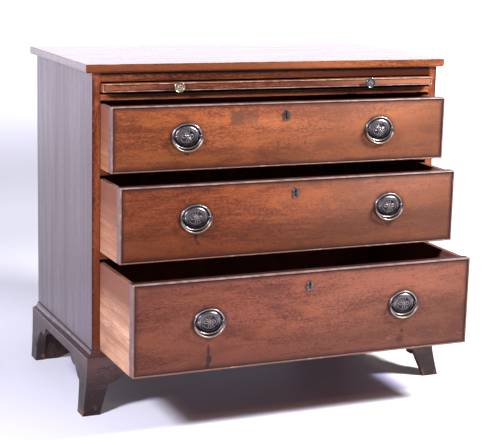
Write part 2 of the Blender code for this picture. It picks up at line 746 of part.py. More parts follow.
def tail_heights(low, high):
    """For each dovetail between two heights: neck low, tip low, tip high, neck high."""
    count = max(2, round((high - low) / TAIL_PITCH))
    tip = (high - low - (count + 1) * PIN_WIDTH) / count
    tails = []
    for number in range(count):
        start = low + PIN_WIDTH + number * (tip + PIN_WIDTH)
        tails.append((start + TAIL_SPLAY, start, start + tip, start + tip - TAIL_SPLAY))
    return tails


def drawer_heights(index):
    """Front tails' range and back tails' range, over the surface that the drawer runs on."""
    side_top = front_top(index) - SIDE_DROP
    back_low = PANEL_LOW + PANEL_THICK + FIT
    return (DRAWER_LIFT, side_top), (back_low, side_top - BACK_DROP)


def drawer_side_outline(index):
    """A drawer side seen from its end: tails at both ends, and a foot under the back."""
    front_range, back_range = drawer_heights(index)
    shoulder = FRONT_THICK + FIT
    tip = LAP_THICK + FIT
    rear_shoulder = DRAWER_LENGTH - DRAWER_BACK_THICK - FIT
    outline = [(shoulder, FIT), (DRAWER_LENGTH, FIT), (DRAWER_LENGTH, back_range[0] - FIT),
               (rear_shoulder, back_range[0] - FIT)]
    for neck_low, tip_low, tip_high, neck_high in tail_heights(*back_range):
        outline += [(rear_shoulder, neck_low), (DRAWER_LENGTH, tip_low),
                    (DRAWER_LENGTH, tip_high), (rear_shoulder, neck_high)]
    outline += [(rear_shoulder, front_range[1]), (shoulder, front_range[1])]
    for neck_low, tip_low, tip_high, neck_high in reversed(tail_heights(*front_range)):
        outline += [(shoulder, neck_high), (tip, tip_high), (tip, tip_low), (shoulder, neck_low)]
    return outline


def cut_sockets(board, tails, tip, mouth, parent, past_tip=0.0):
    """Sockets for the sides' tails at both ends of a board, narrow at the mouth."""
    outside = math.copysign(OVERRUN, mouth - tip)
    beyond = math.copysign(past_tip, tip - mouth)
    for sign in (-1, 1):
        ends = (sign * (FRONT_HALF - DRAWER_SIDE_THICK - FIT), sign * (FRONT_HALF + OVERRUN))
        for number, (neck_low, tip_low, tip_high, neck_high) in enumerate(tails):
            outline = [(tip, tip_low - FIT), (mouth, neck_low - FIT),
                       (mouth + outside, neck_low - FIT), (mouth + outside, neck_high + FIT),
                       (mouth, neck_high + FIT), (tip, tip_high + FIT)]
            if past_tip:
                outline += [(tip + beyond, tip_high + FIT), (tip + beyond, tip_low - FIT)]
            socket = flat_solid(f"{board.name}_socket_{number}_{side_name(sign)}", [outline], "X",
                                min(ends), max(ends))
            cut(board, cutter(socket, parent))


def cut_front(front, index, frame):
    """The bead's rabbet, dovetail sockets, groove, lock pocket, keyhole and bolt holes."""
    top = front_top(index)
    inset = BEAD_WIDTH + FIT
    rabbet = flat_solid(front.name + "_rabbet",
                        [rectangle(FRONT_HALF + OVERRUN, DRAWER_LIFT - OVERRUN, top + OVERRUN),
                         rectangle(FRONT_HALF - inset, DRAWER_LIFT + inset, top - inset)],
                        "Y", -OVERRUN, BEAD_SEAT)
    cut(front, cutter(rabbet, frame))
    cut_sockets(front, tail_heights(*drawer_heights(index)[0]), LAP_THICK, FRONT_THICK, frame)
    groove_half = FRONT_HALF - DRAWER_SIDE_THICK + GROOVE_DEPTH
    groove = box(front.name + "_groove",
                 (-groove_half, FRONT_THICK - GROOVE_DEPTH, PANEL_LOW - FIT),
                 (groove_half, FRONT_THICK + OVERRUN, PANEL_LOW + PANEL_THICK + FIT))
    cut(front, cutter(groove, frame))
    pocket = box(front.name + "_pocket",
                 (-LOCK_WIDTH / 2, FRONT_THICK - LOCK_DEPTH, top - LOCK_HEIGHT),
                 (LOCK_WIDTH / 2, FRONT_THICK + OVERRUN, top + OVERRUN))
    cut(front, cutter(pocket, frame))
    for sign in (-1, 1):
        for post_sign in (-1, 1):
            centre = (sign * HANDLE_X + post_sign * POST_X, HANDLE_HEIGHTS[index])
            name = f"{front.name}_hole_{side_name(sign)}_{side_name(post_sign)}"
            hole = rod(name, SHANK_RADIUS + FIT, "Y", -OVERRUN, FRONT_THICK + OVERRUN, centre)
            cut(front, cutter(hole, frame))


def make_cockbead(index, name, frame):
    """The bead round a drawer front, standing in its rabbet with a rounded nose."""
    half = BEAD_WIDTH / 2
    nose = ellipse(half, half, 180, 360, BEAD_STEPS, (half, half - BEAD_PROUD))
    section = [(0, BEAD_SEAT - FIT)] + nose + [(BEAD_WIDTH, BEAD_SEAT - FIT)]
    outline = (-FRONT_HALF, FRONT_HALF, DRAWER_LIFT, front_top(index))
    piece(mitred_frame(name + "_cockbead", outline, section), frame, MAHOGANY_BASE)


def make_drawer_side(index, sign, name, frame):
    ends = (sign * (FRONT_HALF - DRAWER_SIDE_THICK), sign * FRONT_HALF)
    side = flat_solid(f"{name}_side_{side_name(sign)}", [drawer_side_outline(index)], "X",
                      min(ends), max(ends))
    grooved = (sign * (FRONT_HALF - DRAWER_SIDE_THICK - OVERRUN),
               sign * (FRONT_HALF - DRAWER_SIDE_THICK + GROOVE_DEPTH))
    groove = box(side.name + "_groove", (min(grooved), 0, PANEL_LOW - FIT),
                 (max(grooved), DRAWER_LENGTH + OVERRUN, PANEL_LOW + PANEL_THICK + FIT))
    cut(side, cutter(groove, frame))
    piece(side, frame, OAK)


def make_drawer_box(index, name, frame):
    """The oak sides, back and bottom of a drawer."""
    for sign in (-1, 1):
        make_drawer_side(index, sign, name, frame)
    low, high = drawer_heights(index)[1]
    rear = DRAWER_LENGTH - DRAWER_BACK_THICK
    back = box(name + "_back", (-FRONT_HALF, rear, low), (FRONT_HALF, DRAWER_LENGTH, high))
    cut_sockets(back, tail_heights(low, high), DRAWER_LENGTH, rear, frame, past_tip=OVERRUN)
    piece(back, frame, OAK)
    half = FRONT_HALF - DRAWER_SIDE_THICK + GROOVE_DEPTH - FIT
    bottom = box(name + "_bottom", (-half, FRONT_THICK - GROOVE_DEPTH + FIT, PANEL_LOW),
                 (half, DRAWER_LENGTH, PANEL_LOW + PANEL_THICK))
    piece(bottom, frame, OAK)


def make_lock(index, name, frame):
    """A lock case let into the back of the drawer front, its bolt, and its escutcheon."""
    top = front_top(index)
    keyhole_height = top - KEYHOLE_DROPS[index]
    front_of_case = FRONT_THICK - LOCK_DEPTH + FIT
    case = box(name + "_lock", (-LOCK_WIDTH / 2 + FIT, front_of_case, top - LOCK_HEIGHT + FIT),
               (LOCK_WIDTH / 2 - FIT, FRONT_THICK, top))
    slot = box(name + "_bolt_slot",
               (-BOLT_WIDTH / 2 - FIT, BOLT_Y - BOLT_THICK / 2 - FIT, top - BOLT_LENGTH - FIT),
               (BOLT_WIDTH / 2 + FIT, BOLT_Y + BOLT_THICK / 2 + FIT, top + OVERRUN))
    cut(case, cutter(slot, frame))
    keyhole = flat_solid(name + "_keyhole", [keyhole_outline(keyhole_height)], "Y",
                         -OVERRUN, front_of_case + LOCK_KEYHOLE_DEPTH)
    cut(case, cutter(keyhole, frame))
    piece(case, frame, IRON)

    bolt_frame = frame_at(name + "_bolt_frame", (0, BOLT_Y, top - BOLT_LENGTH), frame)
    bolt = box(name + "_lock_bolt", (-BOLT_WIDTH / 2, -BOLT_THICK / 2, 0),
               (BOLT_WIDTH / 2, BOLT_THICK / 2, BOLT_LENGTH))
    piece(bolt, bolt_frame, IRON)

    half = PILL_WIDTH / 2
    straight = PILL_HEIGHT / 2 - half
    pill = (ellipse(half, half, 0, 180, 8, (0, keyhole_height + straight))
            + ellipse(half, half, 180, 360, 8, (0, keyhole_height - straight)))
    plate = flat_solid(name + "_escutcheon", [pill, keyhole_outline(keyhole_height)], "Y",
                       -PILL_THICK - FIT, -FIT)
    piece(plate, frame, BRASS)
    return keyhole


def handle_mesh():
    """An oval plate with two eyed posts, their shanks and their nuts, facing +Z."""
    half = PLATE_WIDTH / 2
    profile = [(r * half, FIT + h * (PLATE_RISE - FIT)) for r, h in PLATE_SHARES]
    plate = turned("handle_plate", profile + [(0, FIT)], PLATE_STEPS)
    plate.data.transform(Matrix.Diagonal((1, PLATE_HEIGHT / PLATE_WIDTH, 1, 1)))
    head = ellipse(POST_HEAD_RADIUS, POST_HEAD_RADIUS, 90, -30, 4, (0, PIVOT_OUT))
    nut_top = -FRONT_THICK - FIT
    profile = head + [(POST_NECK_RADIUS, PLATE_RISE / 2), (SHANK_RADIUS, PLATE_RISE / 3),
                      (SHANK_RADIUS, nut_top), (NUT_RADIUS, nut_top),
                      (NUT_RADIUS, nut_top - NUT_THICK), (SHANK_RADIUS, nut_top - NUT_THICK),
                      (SHANK_RADIUS, nut_top - NUT_THICK - SHANK_END),
                      (0, nut_top - NUT_THICK - SHANK_END)]
    profile[0] = (0, PIVOT_OUT + POST_HEAD_RADIUS)
    helpers = [plate]
    for sign in (-1, 1):
        post = turned("handle_post_" + side_name(sign), profile, POST_STEPS)
        post.location.x = sign * POST_X
        join(plate, post)
        ends = (sign * (POST_X - POST_HEAD_RADIUS * EYE_DEPTH_SHARE), sign * (half + OVERRUN))
        eye = rod("handle_eye_" + side_name(sign), EYE_RADIUS, "X", min(ends), max(ends),
                  (0, PIVOT_OUT))
        helpers += [post, eye]
    for helper in helpers[2::2]:
        cut(plate, helper)
    mesh = evaluated_mesh(plate)
    for helper in helpers:
        bpy.data.objects.remove(helper)
    mesh.shade_smooth()
    mesh.set_sharp_from_angle(angle=math.radians(50))
    return mesh


def bail_curve():
    """The swinging handle: a half oval whose two ends turn in to the posts' eyes."""
    inside = POST_X - POST_HEAD_RADIUS * EYE_DEPTH_SHARE + FIT
    outside = POST_X + POST_HEAD_RADIUS + FIT
    side = BAIL_HALF_WIDTH
    first = math.degrees(math.asin(BAIL_CORNER / BAIL_DROP))
    oval = ellipse(side, BAIL_DROP, -first, first - 180, BAIL_STEPS)
    corner = ellipse(side - outside, BAIL_CORNER, 90, 0, 3, (outside, -BAIL_CORNER))
    right = [(inside, 0)] + corner[:-1]
    left = [(-x, z) for x, z in right[::-1]]
    path = right + oval + left
    thin = BAIL_PIN_RADIUS / BAIL_RADIUS
    radii = [thin, thin, (1 + 2 * thin) / 3, (2 + thin) / 3]
    radii = radii + [1] * len(oval) + radii[::-1]

    curve = bpy.data.curves.new("bail", "CURVE")
    curve.dimensions = "3D"
    curve.bevel_depth = BAIL_RADIUS
    curve.bevel_resolution = 2
    curve.use_fill_caps = True
    spline = curve.splines.new("POLY")
    spline.points.add(len(path) - 1)
    for point, (x, z), radius in zip(spline.points, path, radii):
        point.co = (x, 0, z, 1)
        point.radius = radius
    return curve


def make_handles(index, name, plate_mesh, bail, frame):
    for sign in (-1, 1):
        side = side_name(sign)
        plate = bpy.data.objects.new(f"{name}_handle_plate_{side}", plate_mesh)
        plate.location = (sign * HANDLE_X, 0, HANDLE_HEIGHTS[index])
        plate.rotation_euler = (math.radians(90), 0, 0)
        piece(plate, frame, BRASS)
        pivot = frame_at(f"{name}_pivot_{side}",
                         (sign * HANDLE_X, -PIVOT_OUT, HANDLE_HEIGHTS[index]), frame)
        swing = bpy.data.objects.new(f"{name}_bail_{side}", bail)
        piece(swing, pivot, BRASS)


def make_drawer(index, plate_mesh, bail, parent):
    name = "drawer_" + DRAWERS[index]
    frame = frame_at(name + "_frame", (0, -DRAWER_OPEN[index], opening_floor(index)), parent)
    front = box(name + "_front", (-FRONT_HALF, 0, DRAWER_LIFT),
                (FRONT_HALF, FRONT_THICK, front_top(index)))
    cut_front(front, index, frame)
    cut(front, make_lock(index, name, frame))
    piece(front, frame, MAHOGANY_FRONT)
    make_cockbead(index, name, frame)
    make_drawer_box(index, name, frame)
    make_handles(index, name, plate_mesh, bail, frame)


def make_chest():
    carcase = frame_at("carcase_frame", (0, FRONT_Y, 0))
    make_top(carcase)
    make_top_rail(carcase)
    make_back(carcase)
    make_bottom_board(carcase)
    for index, name in enumerate(("web_frame_lower", "web_frame_upper", "web_frame_slide")):
        make_web_frame(index, name, carcase)
    make_mouldings(carcase)
    make_plinth_front(carcase)
    for sign in (-1, 1):
        make_side_panel(sign, carcase)
        make_plinth_side(sign, carcase)
        make_rear_bracket(sign, carcase)
    make_slide(carcase)
    plate_mesh = handle_mesh()
    bail = bail_curve()
    for index in range(len(DRAWERS)):
        make_drawer(index, plate_mesh, bail, carcase)


clear_scene()
PARTS = new_collection("bachelors_chest")
CUTTERS = new_collection("cutters")
make_chest()
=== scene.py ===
"""Looks of the bachelor's chest: worn mahogany, oak drawers, patinated brass, a pale studio."""
import json
from math import asin, atan2, cos, degrees, exp, hypot, pi, radians, sin

import bmesh
import bpy
from mathutils import Matrix, Vector, noise

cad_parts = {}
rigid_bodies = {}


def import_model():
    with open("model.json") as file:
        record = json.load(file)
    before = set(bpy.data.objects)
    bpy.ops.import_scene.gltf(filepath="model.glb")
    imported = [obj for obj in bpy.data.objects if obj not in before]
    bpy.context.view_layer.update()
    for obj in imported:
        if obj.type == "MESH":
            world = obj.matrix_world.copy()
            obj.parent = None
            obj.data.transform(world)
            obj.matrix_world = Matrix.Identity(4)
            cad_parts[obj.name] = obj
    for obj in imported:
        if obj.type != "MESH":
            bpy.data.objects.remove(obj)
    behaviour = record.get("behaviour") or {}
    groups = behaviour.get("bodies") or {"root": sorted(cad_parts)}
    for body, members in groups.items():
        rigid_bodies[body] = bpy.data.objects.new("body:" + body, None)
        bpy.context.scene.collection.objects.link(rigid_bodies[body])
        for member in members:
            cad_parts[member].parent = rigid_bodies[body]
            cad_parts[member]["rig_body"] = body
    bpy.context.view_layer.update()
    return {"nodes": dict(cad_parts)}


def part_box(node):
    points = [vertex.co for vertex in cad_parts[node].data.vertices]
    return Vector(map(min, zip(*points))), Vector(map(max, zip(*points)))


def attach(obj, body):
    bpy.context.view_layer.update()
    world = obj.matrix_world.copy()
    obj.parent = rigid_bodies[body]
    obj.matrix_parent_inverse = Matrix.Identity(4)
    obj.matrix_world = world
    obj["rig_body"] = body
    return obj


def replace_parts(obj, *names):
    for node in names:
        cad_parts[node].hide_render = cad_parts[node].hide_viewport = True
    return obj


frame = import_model()

MM = 0.001
NODES = frame["nodes"]
DRAWERS = ("lower", "middle", "upper")
SIDES = (("left", -1), ("right", 1))

# Camera, solved from the chest's corners in the photograph: its place, its yaw, pitch and roll, its lens
CAMERA_PLACE = Vector((-1.3647, -3.0622, 1.1024))
CAMERA_TURN = radians(-24.022), radians(11.911), radians(1.46)
LENS = 100.74

# Width of the bead round a drawer front
BEAD = 3 * MM

# Boards: the least angle of an arris, how often its wear changes, and how near points are welded
SHARP = radians(35)
ARRIS_STEP = 14 * MM
WELD = 0.01 * MM

# Handles. The medallion and the dome end at shares of the way from the plate's middle to its rim
PLATE_WIDTH = 74 * MM
PLATE_HEIGHT = 59 * MM
PLATE_BACK = 0.3 * MM
PLATE_RINGS = 34
PLATE_SPOKES = 176
MEDALLION = 0.5
MEDALLION_BEADS = 34
DOME_END = 0.79
FINE_RINGS = 52
RELIEF = 0.6
PIVOT_OUT = 6.6 * MM
POST_X = 29.5 * MM
POST_HEAD = 3.6 * MM
POST_NECK = 2.3 * MM
SHANK = 2.2 * MM
NUT_HALF = 5.4 * MM
NUT_THICK = 4.5 * MM
SHANK_END = 2.5 * MM
BAIL_HALF = 36.2 * MM
BAIL_DROP = 33.9 * MM
BAIL_CORNER = 3 * MM
BAIL_RADIUS = 2.1 * MM
BAIL_PIN = 1.35 * MM

# Knobs. Their seat is the field of the slide's edge, behind its beads
KNOB_SPOKES = 72
KNOB_PETALS = 8
KNOB_SEAT = 1.8 * MM

BACK_BOARDS = 6


class Tree:
    """The node tree of a material or a world, built with short calls."""

    # Numbers of the mix node's sockets for colours
    MIX_COLOURS = (6, 7)
    MIX_RESULT = 2

    def __init__(self, owner, space):
        owner.use_nodes = True
        self.nodes = owner.node_tree.nodes
        self.links = owner.node_tree.links
        self.place = self.nodes.new("ShaderNodeTexCoord").outputs[space]

    def put(self, socket, value):
        """Link a socket to the output of a node, or set it to a constant."""
        if isinstance(value, bpy.types.NodeSocket):
            self.links.new(value, socket)
        else:
            socket.default_value = value

    def node(self, kind, sockets):
        """A new node with its inputs filled in, by name or by number."""
        made = self.nodes.new("ShaderNode" + kind)
        for name, value in sockets.items():
            self.put(made.inputs[name], value)
        return made

    def math(self, operation, a, b=0.0):
        node = self.node("Math", {0: a, 1: b})
        node.operation = operation
        return node.outputs[0]

    def add(self, a, b):
        return self.math("ADD", a, b)

    def less(self, a, b):
        return self.math("SUBTRACT", a, b)

    def times(self, a, b):
        return self.math("MULTIPLY", a, b)

    def axes(self):
        return self.node("SeparateXYZ", {0: self.place}).outputs

    def moved(self, scale, offset=(0, 0, 0), turn=(0, 0, 0)):
        return self.node("Mapping", {"Vector": self.place, "Location": offset, "Rotation": turn,
                                     "Scale": scale}).outputs["Vector"]

    def noise(self, scale, detail, rough, bend=0.0, *placing):
        vector = self.moved(scale, *placing)
        return self.node("TexNoise", {"Vector": vector, "Scale": 1.0, "Detail": detail,
                                      "Roughness": rough, "Distortion": bend}).outputs["Fac"]

    def cloud(self, scale, detail, rough):
        """Noise of the same scale along all three axes."""
        return self.noise((scale, scale, scale), detail, rough)

    def swayed(self, value, wave, reach):
        """A value moved up and down by a noise."""
        return self.add(value, self.times(self.less(wave, 0.5), reach))

    def dots(self, vector, size, share):
        """Round spots in some of the cells of a random pattern: 1 in a spot and 0 outside."""
        cells = self.node("TexVoronoi", {"Vector": vector, "Scale": 1.0}).outputs
        near = self.remap(cells["Distance"], size * 0.6, size, 1, 0)
        pick = self.node("SeparateColor", {0: cells["Color"]}).outputs[0]
        return self.times(near, self.math("LESS_THAN", pick, share))

    def remap(self, value, low, high, to_low=0.0, to_high=1.0):
        """A value carried smoothly from one range to another, and held at its ends."""
        node = self.node("MapRange", {"Value": value, "From Min": low, "From Max": high,
                                      "To Min": to_low, "To Max": to_high})
        node.interpolation_type = "SMOOTHSTEP"
        return node.outputs["Result"]

    def mix(self, factor, a, b):
        """The second colour over the first, by a factor."""
        node = self.node("Mix", {0: factor})
        node.data_type = "RGBA"
        for number, value in zip(self.MIX_COLOURS, (a, b)):
            self.put(node.inputs[number], value if isinstance(value, bpy.types.NodeSocket) else (*value, 1))
        return node.outputs[self.MIX_RESULT]

    def tinted(self, colour, tint, value, low, high, most):
        """A colour that goes over to a tint as a value goes from low to high."""
        return self.mix(self.remap(value, low, high, 0, most), colour, tint)

    def ramp(self, factor, stops):
        """A colour between three stops, each with its place from 0 to 1 and its colour."""
        node = self.node("ValToRGB", {0: factor})
        points = node.color_ramp.elements
        points.new(0.5)
        for point, (place, colour) in zip(points, stops):
            point.position = place
            point.color = (*colour, 1)
        return node.outputs[0]


class Paint(Tree):
    """A material in the coordinates of its object."""

    def __init__(self, name):
        self.material = bpy.data.materials.new(name)
        super().__init__(self.material, "Object")
        self.shader = self.nodes["Principled BSDF"]
        self.colour = None

    def lay(self, factor, tint):
        """Lay a tint over the colour so far, by a factor."""
        self.colour = self.mix(factor, self.colour, tint)

    def tint(self, tint, value, low, high, most):
        """Turn the colour so far to a tint as a value goes from low to high."""
        self.lay(self.remap(value, low, high, 0, most), tint)

    def done(self, **values):
        """The material, with its colour and its shader's own sockets set, named with underscores."""
        for name, value in {"Base_Color": self.colour, **values}.items():
            self.put(self.shader.inputs[name.replace("_", " ")], value)
        return self.material

    def bump(self, height, depth, strength=1.0):
        return self.node("Bump", {"Height": height, "Distance": depth,
                                  "Strength": strength}).outputs["Normal"]


# Waves along and across the grain per metre, detail, bend and weight: figure, streaks, mottle, fibre
FIGURE = ((2.0, 12, 4, 0.8, 1.25), (8, 55, 4, 1.2, 0.4), (170, 340, 3, 0.3, 0.85), (26, 460, 3, 0.2, 0.6))


def along_grain(grain, along, across):
    """Frequencies on X, Y and Z, where the grain runs along one of them."""
    return [along if axis == grain else across for axis in "XYZ"]


def wood(name, grain, seed, tones, contrast=1.0, tilt=0.0):
    """A material with a wood's colour, and its height, from figure down to pores.

    The tilt turns the figure about Y.
    """
    p = Paint(name)
    offset = (seed * 3.1, seed * 1.7, seed * 2.3)
    tone = 0.5
    for along, across, detail, bend, weight in FIGURE:
        wave = p.noise(along_grain(grain, along, across), detail, 0.58, bend, offset, (0, tilt, 0))
        tone = p.swayed(tone, wave, weight * contrast)
    dark, middle, light = tones
    p.colour = p.ramp(tone, ((0.3, dark), (0.5, middle), (0.7, light)))
    pores = p.remap(p.noise(along_grain(grain, 90, 1500), 2, 0.5, 0, offset), 0.3, 0.42, 1, 0)
    p.lay(p.times(pores, 0.55), dark)
    return p, p.less(p.times(wave, 0.5), pores)


def about(middle, dark=0.42, light=1.55):
    """Dark, middle and light tones about one colour. The dark runs red and the light runs yellow."""
    red, green, blue = middle
    return ((red * dark * 1.08, green * dark * 0.9, blue * dark * 0.95), middle,
            (red * light * 0.96, green * light * 1.06, blue * light * 1.1))


def specks(p, seed, ink, scale=55, size=0.1, share=0.22, strength=0.8, squash=1.5):
    """Small dark dents and ink spots, wider than tall."""
    spots = p.dots(p.moved((scale, scale, scale * squash), (seed, seed, seed)), size, share)
    p.lay(p.times(spots, strength), ink)


def scratches(p, tint, seed, turn, strength):
    """A few long thin lines, here and there, turned about Y."""
    line = p.noise((7, 34, 34), 1, 0.4, 0.2, (seed, seed * 1.3, seed * 0.7), (0, turn, 0))
    off = p.math("ABSOLUTE", p.less(line, 0.5))
    places = p.remap(p.noise((9, 9, 9), 2, 0.5, 0, (seed, 0, seed)), 0.56, 0.62, 0, strength)
    p.lay(p.times(p.remap(off, 0, 0.006, 1, 0), places), tint)


def stain_and_shadow_patch(p, ink, centre, radii, strength, fray=0.35):
    """A frayed dark patch about a point, seen along Y."""
    x, _, z = p.axes()
    u = p.math("DIVIDE", p.less(x, centre[0]), radii[0])
    v = p.math("DIVIDE", p.less(z, centre[1]), radii[1])
    far = p.math("SQRT", p.add(p.times(u, u), p.times(v, v)))
    far = p.swayed(far, p.noise((230, 230, 110), 4, 0.65), 2 * fray)
    p.lay(p.remap(far, 0.65, 1.05, strength, 0), ink)


def edge_distance(p, low, high):
    """Distance in from the border of an upright rectangle between two corners."""
    x, _, z = p.axes()
    near = p.less(x, low[0])
    for gap in (p.less(high[0], x), p.less(z, low[1]), p.less(high[1], z)):
        near = p.math("MINIMUM", near, gap)
    return near


def square_patch(p, ink, low, high, strength):
    """A square mark with soft, slightly ragged sides, as a label or a block leaves."""
    near = p.swayed(edge_distance(p, low, high), p.cloud(160, 3, 0.6), 9 * MM)
    p.tint(ink, near, 0, 2 * MM, strength)


def border_dirt_and_shadow(p, ink, low, high, width, strength):
    """Within a border: a painted shadow line against the bead, then a ragged darkening that fades inwards,
    part grime and part painted shade.
    """
    near = edge_distance(p, low, high)
    ragged = p.cloud(30, 3, 0.6)
    shade = p.remap(p.math("DIVIDE", near, p.add(ragged, 0.35)), 0, width, strength, 0)
    p.lay(shade, ink)
    # Painted shadow: a black line against the bead
    p.lay(p.remap(near, 0.8 * MM, 2.6 * MM, 0.92, 0), ink)


def polish(p, height, rough, coat, coat_rough, depth=0.05 * MM, shine=0.3, sweep=(9, 9, 9)):
    """Finish a wood: roughness that varies, a wax coat and fine relief."""
    smear = p.noise(sweep, 3, 0.6)
    return p.done(Roughness=p.remap(smear, 0.3, 0.7, rough - 0.07, rough + 0.09),
                  Coat_Weight=coat, Coat_Roughness=coat_rough, Specular_IOR_Level=shine,
                  Normal=p.bump(height, depth))


INK = (0.022, 0.01, 0.011)
# Pale tint of scratches and specks, and of the painted sheen of reflected light on the drawer fronts
WEAR_AND_SHEEN = (0.36, 0.18, 0.12)
MAHOGANY_RED = about((0.17, 0.045, 0.018))
MAHOGANY_PINK = about((0.22, 0.09, 0.055))
MAHOGANY_DARK = about((0.045, 0.018, 0.016), 0.4, 1.9)
SIDE_TONES = about((0.062, 0.027, 0.034), 0.8, 1.25)
TOP_TONES = about((0.11, 0.048, 0.04), 0.6, 1.4)
# Oak of the drawer sides: one wood, painted lightest on the lower drawer and darkest on the upper one, as
# painted light and shade
OAK_LIT_AND_SHADED = {"lower": (0.52, 0.28, 0.17), "middle": (0.37, 0.17, 0.095), "upper": (0.285, 0.108, 0.045)}
OAK_TONES = about((0.56, 0.29, 0.175), 0.68, 1.22)
# Inner oak of the drawers, painted far darker than the sides as painted shade
SHADED_LINING_TONES = about((0.17, 0.068, 0.04), 0.6, 1.3)
PINE_TONES = about((0.27, 0.155, 0.085), 0.55, 1.4)
WORN = (0.46, 0.3, 0.23)


def mahogany(name, grain, seed, tones, rough=0.38, coat=0.12, coat_rough=0.16, contrast=1.0,
             depth=0.05 * MM, **looks):
    """Plain polished mahogany with a few dents."""
    p, height = wood(name, grain, seed, tones, contrast)
    specks(p, seed, INK)
    return polish(p, height, rough, coat, coat_rough, depth, **looks)


def worn_edge(name, tones, light=WORN, amount=0.55):
    """The rubbed arris of a board: pale where the polish has gone, dark where it is left."""
    p = Paint(name)
    patches = p.cloud(45, 4, 0.65)
    fine = p.cloud(400, 2, 0.5)
    bare = p.remap(patches, 0.62 - amount * 0.3, 0.66)
    p.colour = p.mix(bare, tones[1], p.mix(fine, tones[2], light))
    return p.done(Roughness=0.42, Coat_Weight=0.25, Coat_Roughness=0.3, Normal=p.bump(fine, 0.05 * MM))


# Middle tone, painted sheen of reflected light at the right, tilt of the grain in degrees, contrast
FRONT_LOOKS = {
    "lower": ((0.162, 0.043, 0.0235), 0.2, 2, 1.3),
    "middle": ((0.19, 0.042, 0.0115), 0.42, -3, 1.15),
    "upper": ((0.25, 0.065, 0.02), 0.4, 4, 1.15),
}


def bead_finish(key):
    """Cockbead: pale along the top, part rubbed wear and part painted highlight; dark and polished
    elsewhere.
    """
    _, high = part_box(f"drawer_{key}_cockbead")
    p = Paint(f"bead_{key}")
    _, _, z = p.axes()
    patches = p.cloud(45, 4, 0.65)
    fine = p.cloud(400, 2, 0.5)
    polished = p.mix(fine, (0.1, 0.036, 0.024), (0.24, 0.1, 0.065))
    p.colour = p.tinted(polished, (0.34, 0.2, 0.15), patches, 0.54, 0.66, 0.8)
    rubbed = p.tinted((0.17, 0.075, 0.055), (0.33, 0.2, 0.165), patches, 0.36, 0.6, 1)
    rubbed = p.tinted(rubbed, (0.2, 0.09, 0.07), fine, 0.35, 0.65, 0.5)
    # Wear and painted highlight: the top bead takes the pale rubbed colour
    p.tint(rubbed, z, high.z - 4 * MM, high.z - 1.5 * MM, 1)
    return p.done(Roughness=0.42, Coat_Weight=0.2, Coat_Roughness=0.3, Normal=p.bump(fine, 0.05 * MM))


# Places and half sizes of ink stains in X and Z, and how dark they are
FRONT_STAINS = {
    "lower": ((-0.243, 0.193, 0.004, 0.014, 0.8), (-0.2415, 0.172, 0.0075, 0.012, 0.9),
              (-0.2445, 0.156, 0.0055, 0.009, 0.9), (0.238, 0.171, 0.011, 0.012, 0.5),
              (0.243, 0.192, 0.004, 0.006, 0.7)),
    "middle": ((-0.2425, 0.43, 0.005, 0.014, 0.8), (-0.237, 0.414, 0.004, 0.006, 0.6),
               (0.246, 0.425, 0.008, 0.007, 0.45)),
    "upper": ((-0.24, 0.602, 0.003, 0.005, 0.6), (0.05, 0.62, 0.002, 0.006, 0.6)),
}

# Corners in X and Z of the square marks on the upper drawer, and how dark they are
SQUARE_MARKS = (((-0.138, 0.6645), (-0.105, 0.698), 0.75), ((-0.108, 0.668), (-0.07, 0.699), 0.5))


def front_marks(p, key):
    """Marks on a drawer front: a dark halo round the handle plates, part grime and part painted shadow, ink
    runs, and two squares on the upper one.
    """
    dark = [0.2 * part for part in FRONT_LOOKS[key][0]]
    for side, _ in SIDES:
        # Grime and painted shadow: a dark halo round each plate, set a little low
        x, _, z = middle_at(f"drawer_{key}_handle_plate_{side}")
        stain_and_shadow_patch(p, dark, (x, z - 4 * MM), (0.047, 0.043), 0.95, 0.12)
    for x, z, wide, tall, strength in FRONT_STAINS[key]:
        stain_and_shadow_patch(p, INK, (x, z), (wide, tall), strength)
    if key == "upper":
        for low, high, strength in SQUARE_MARKS:
            square_patch(p, (0.1, 0.045, 0.028), low, high, strength)


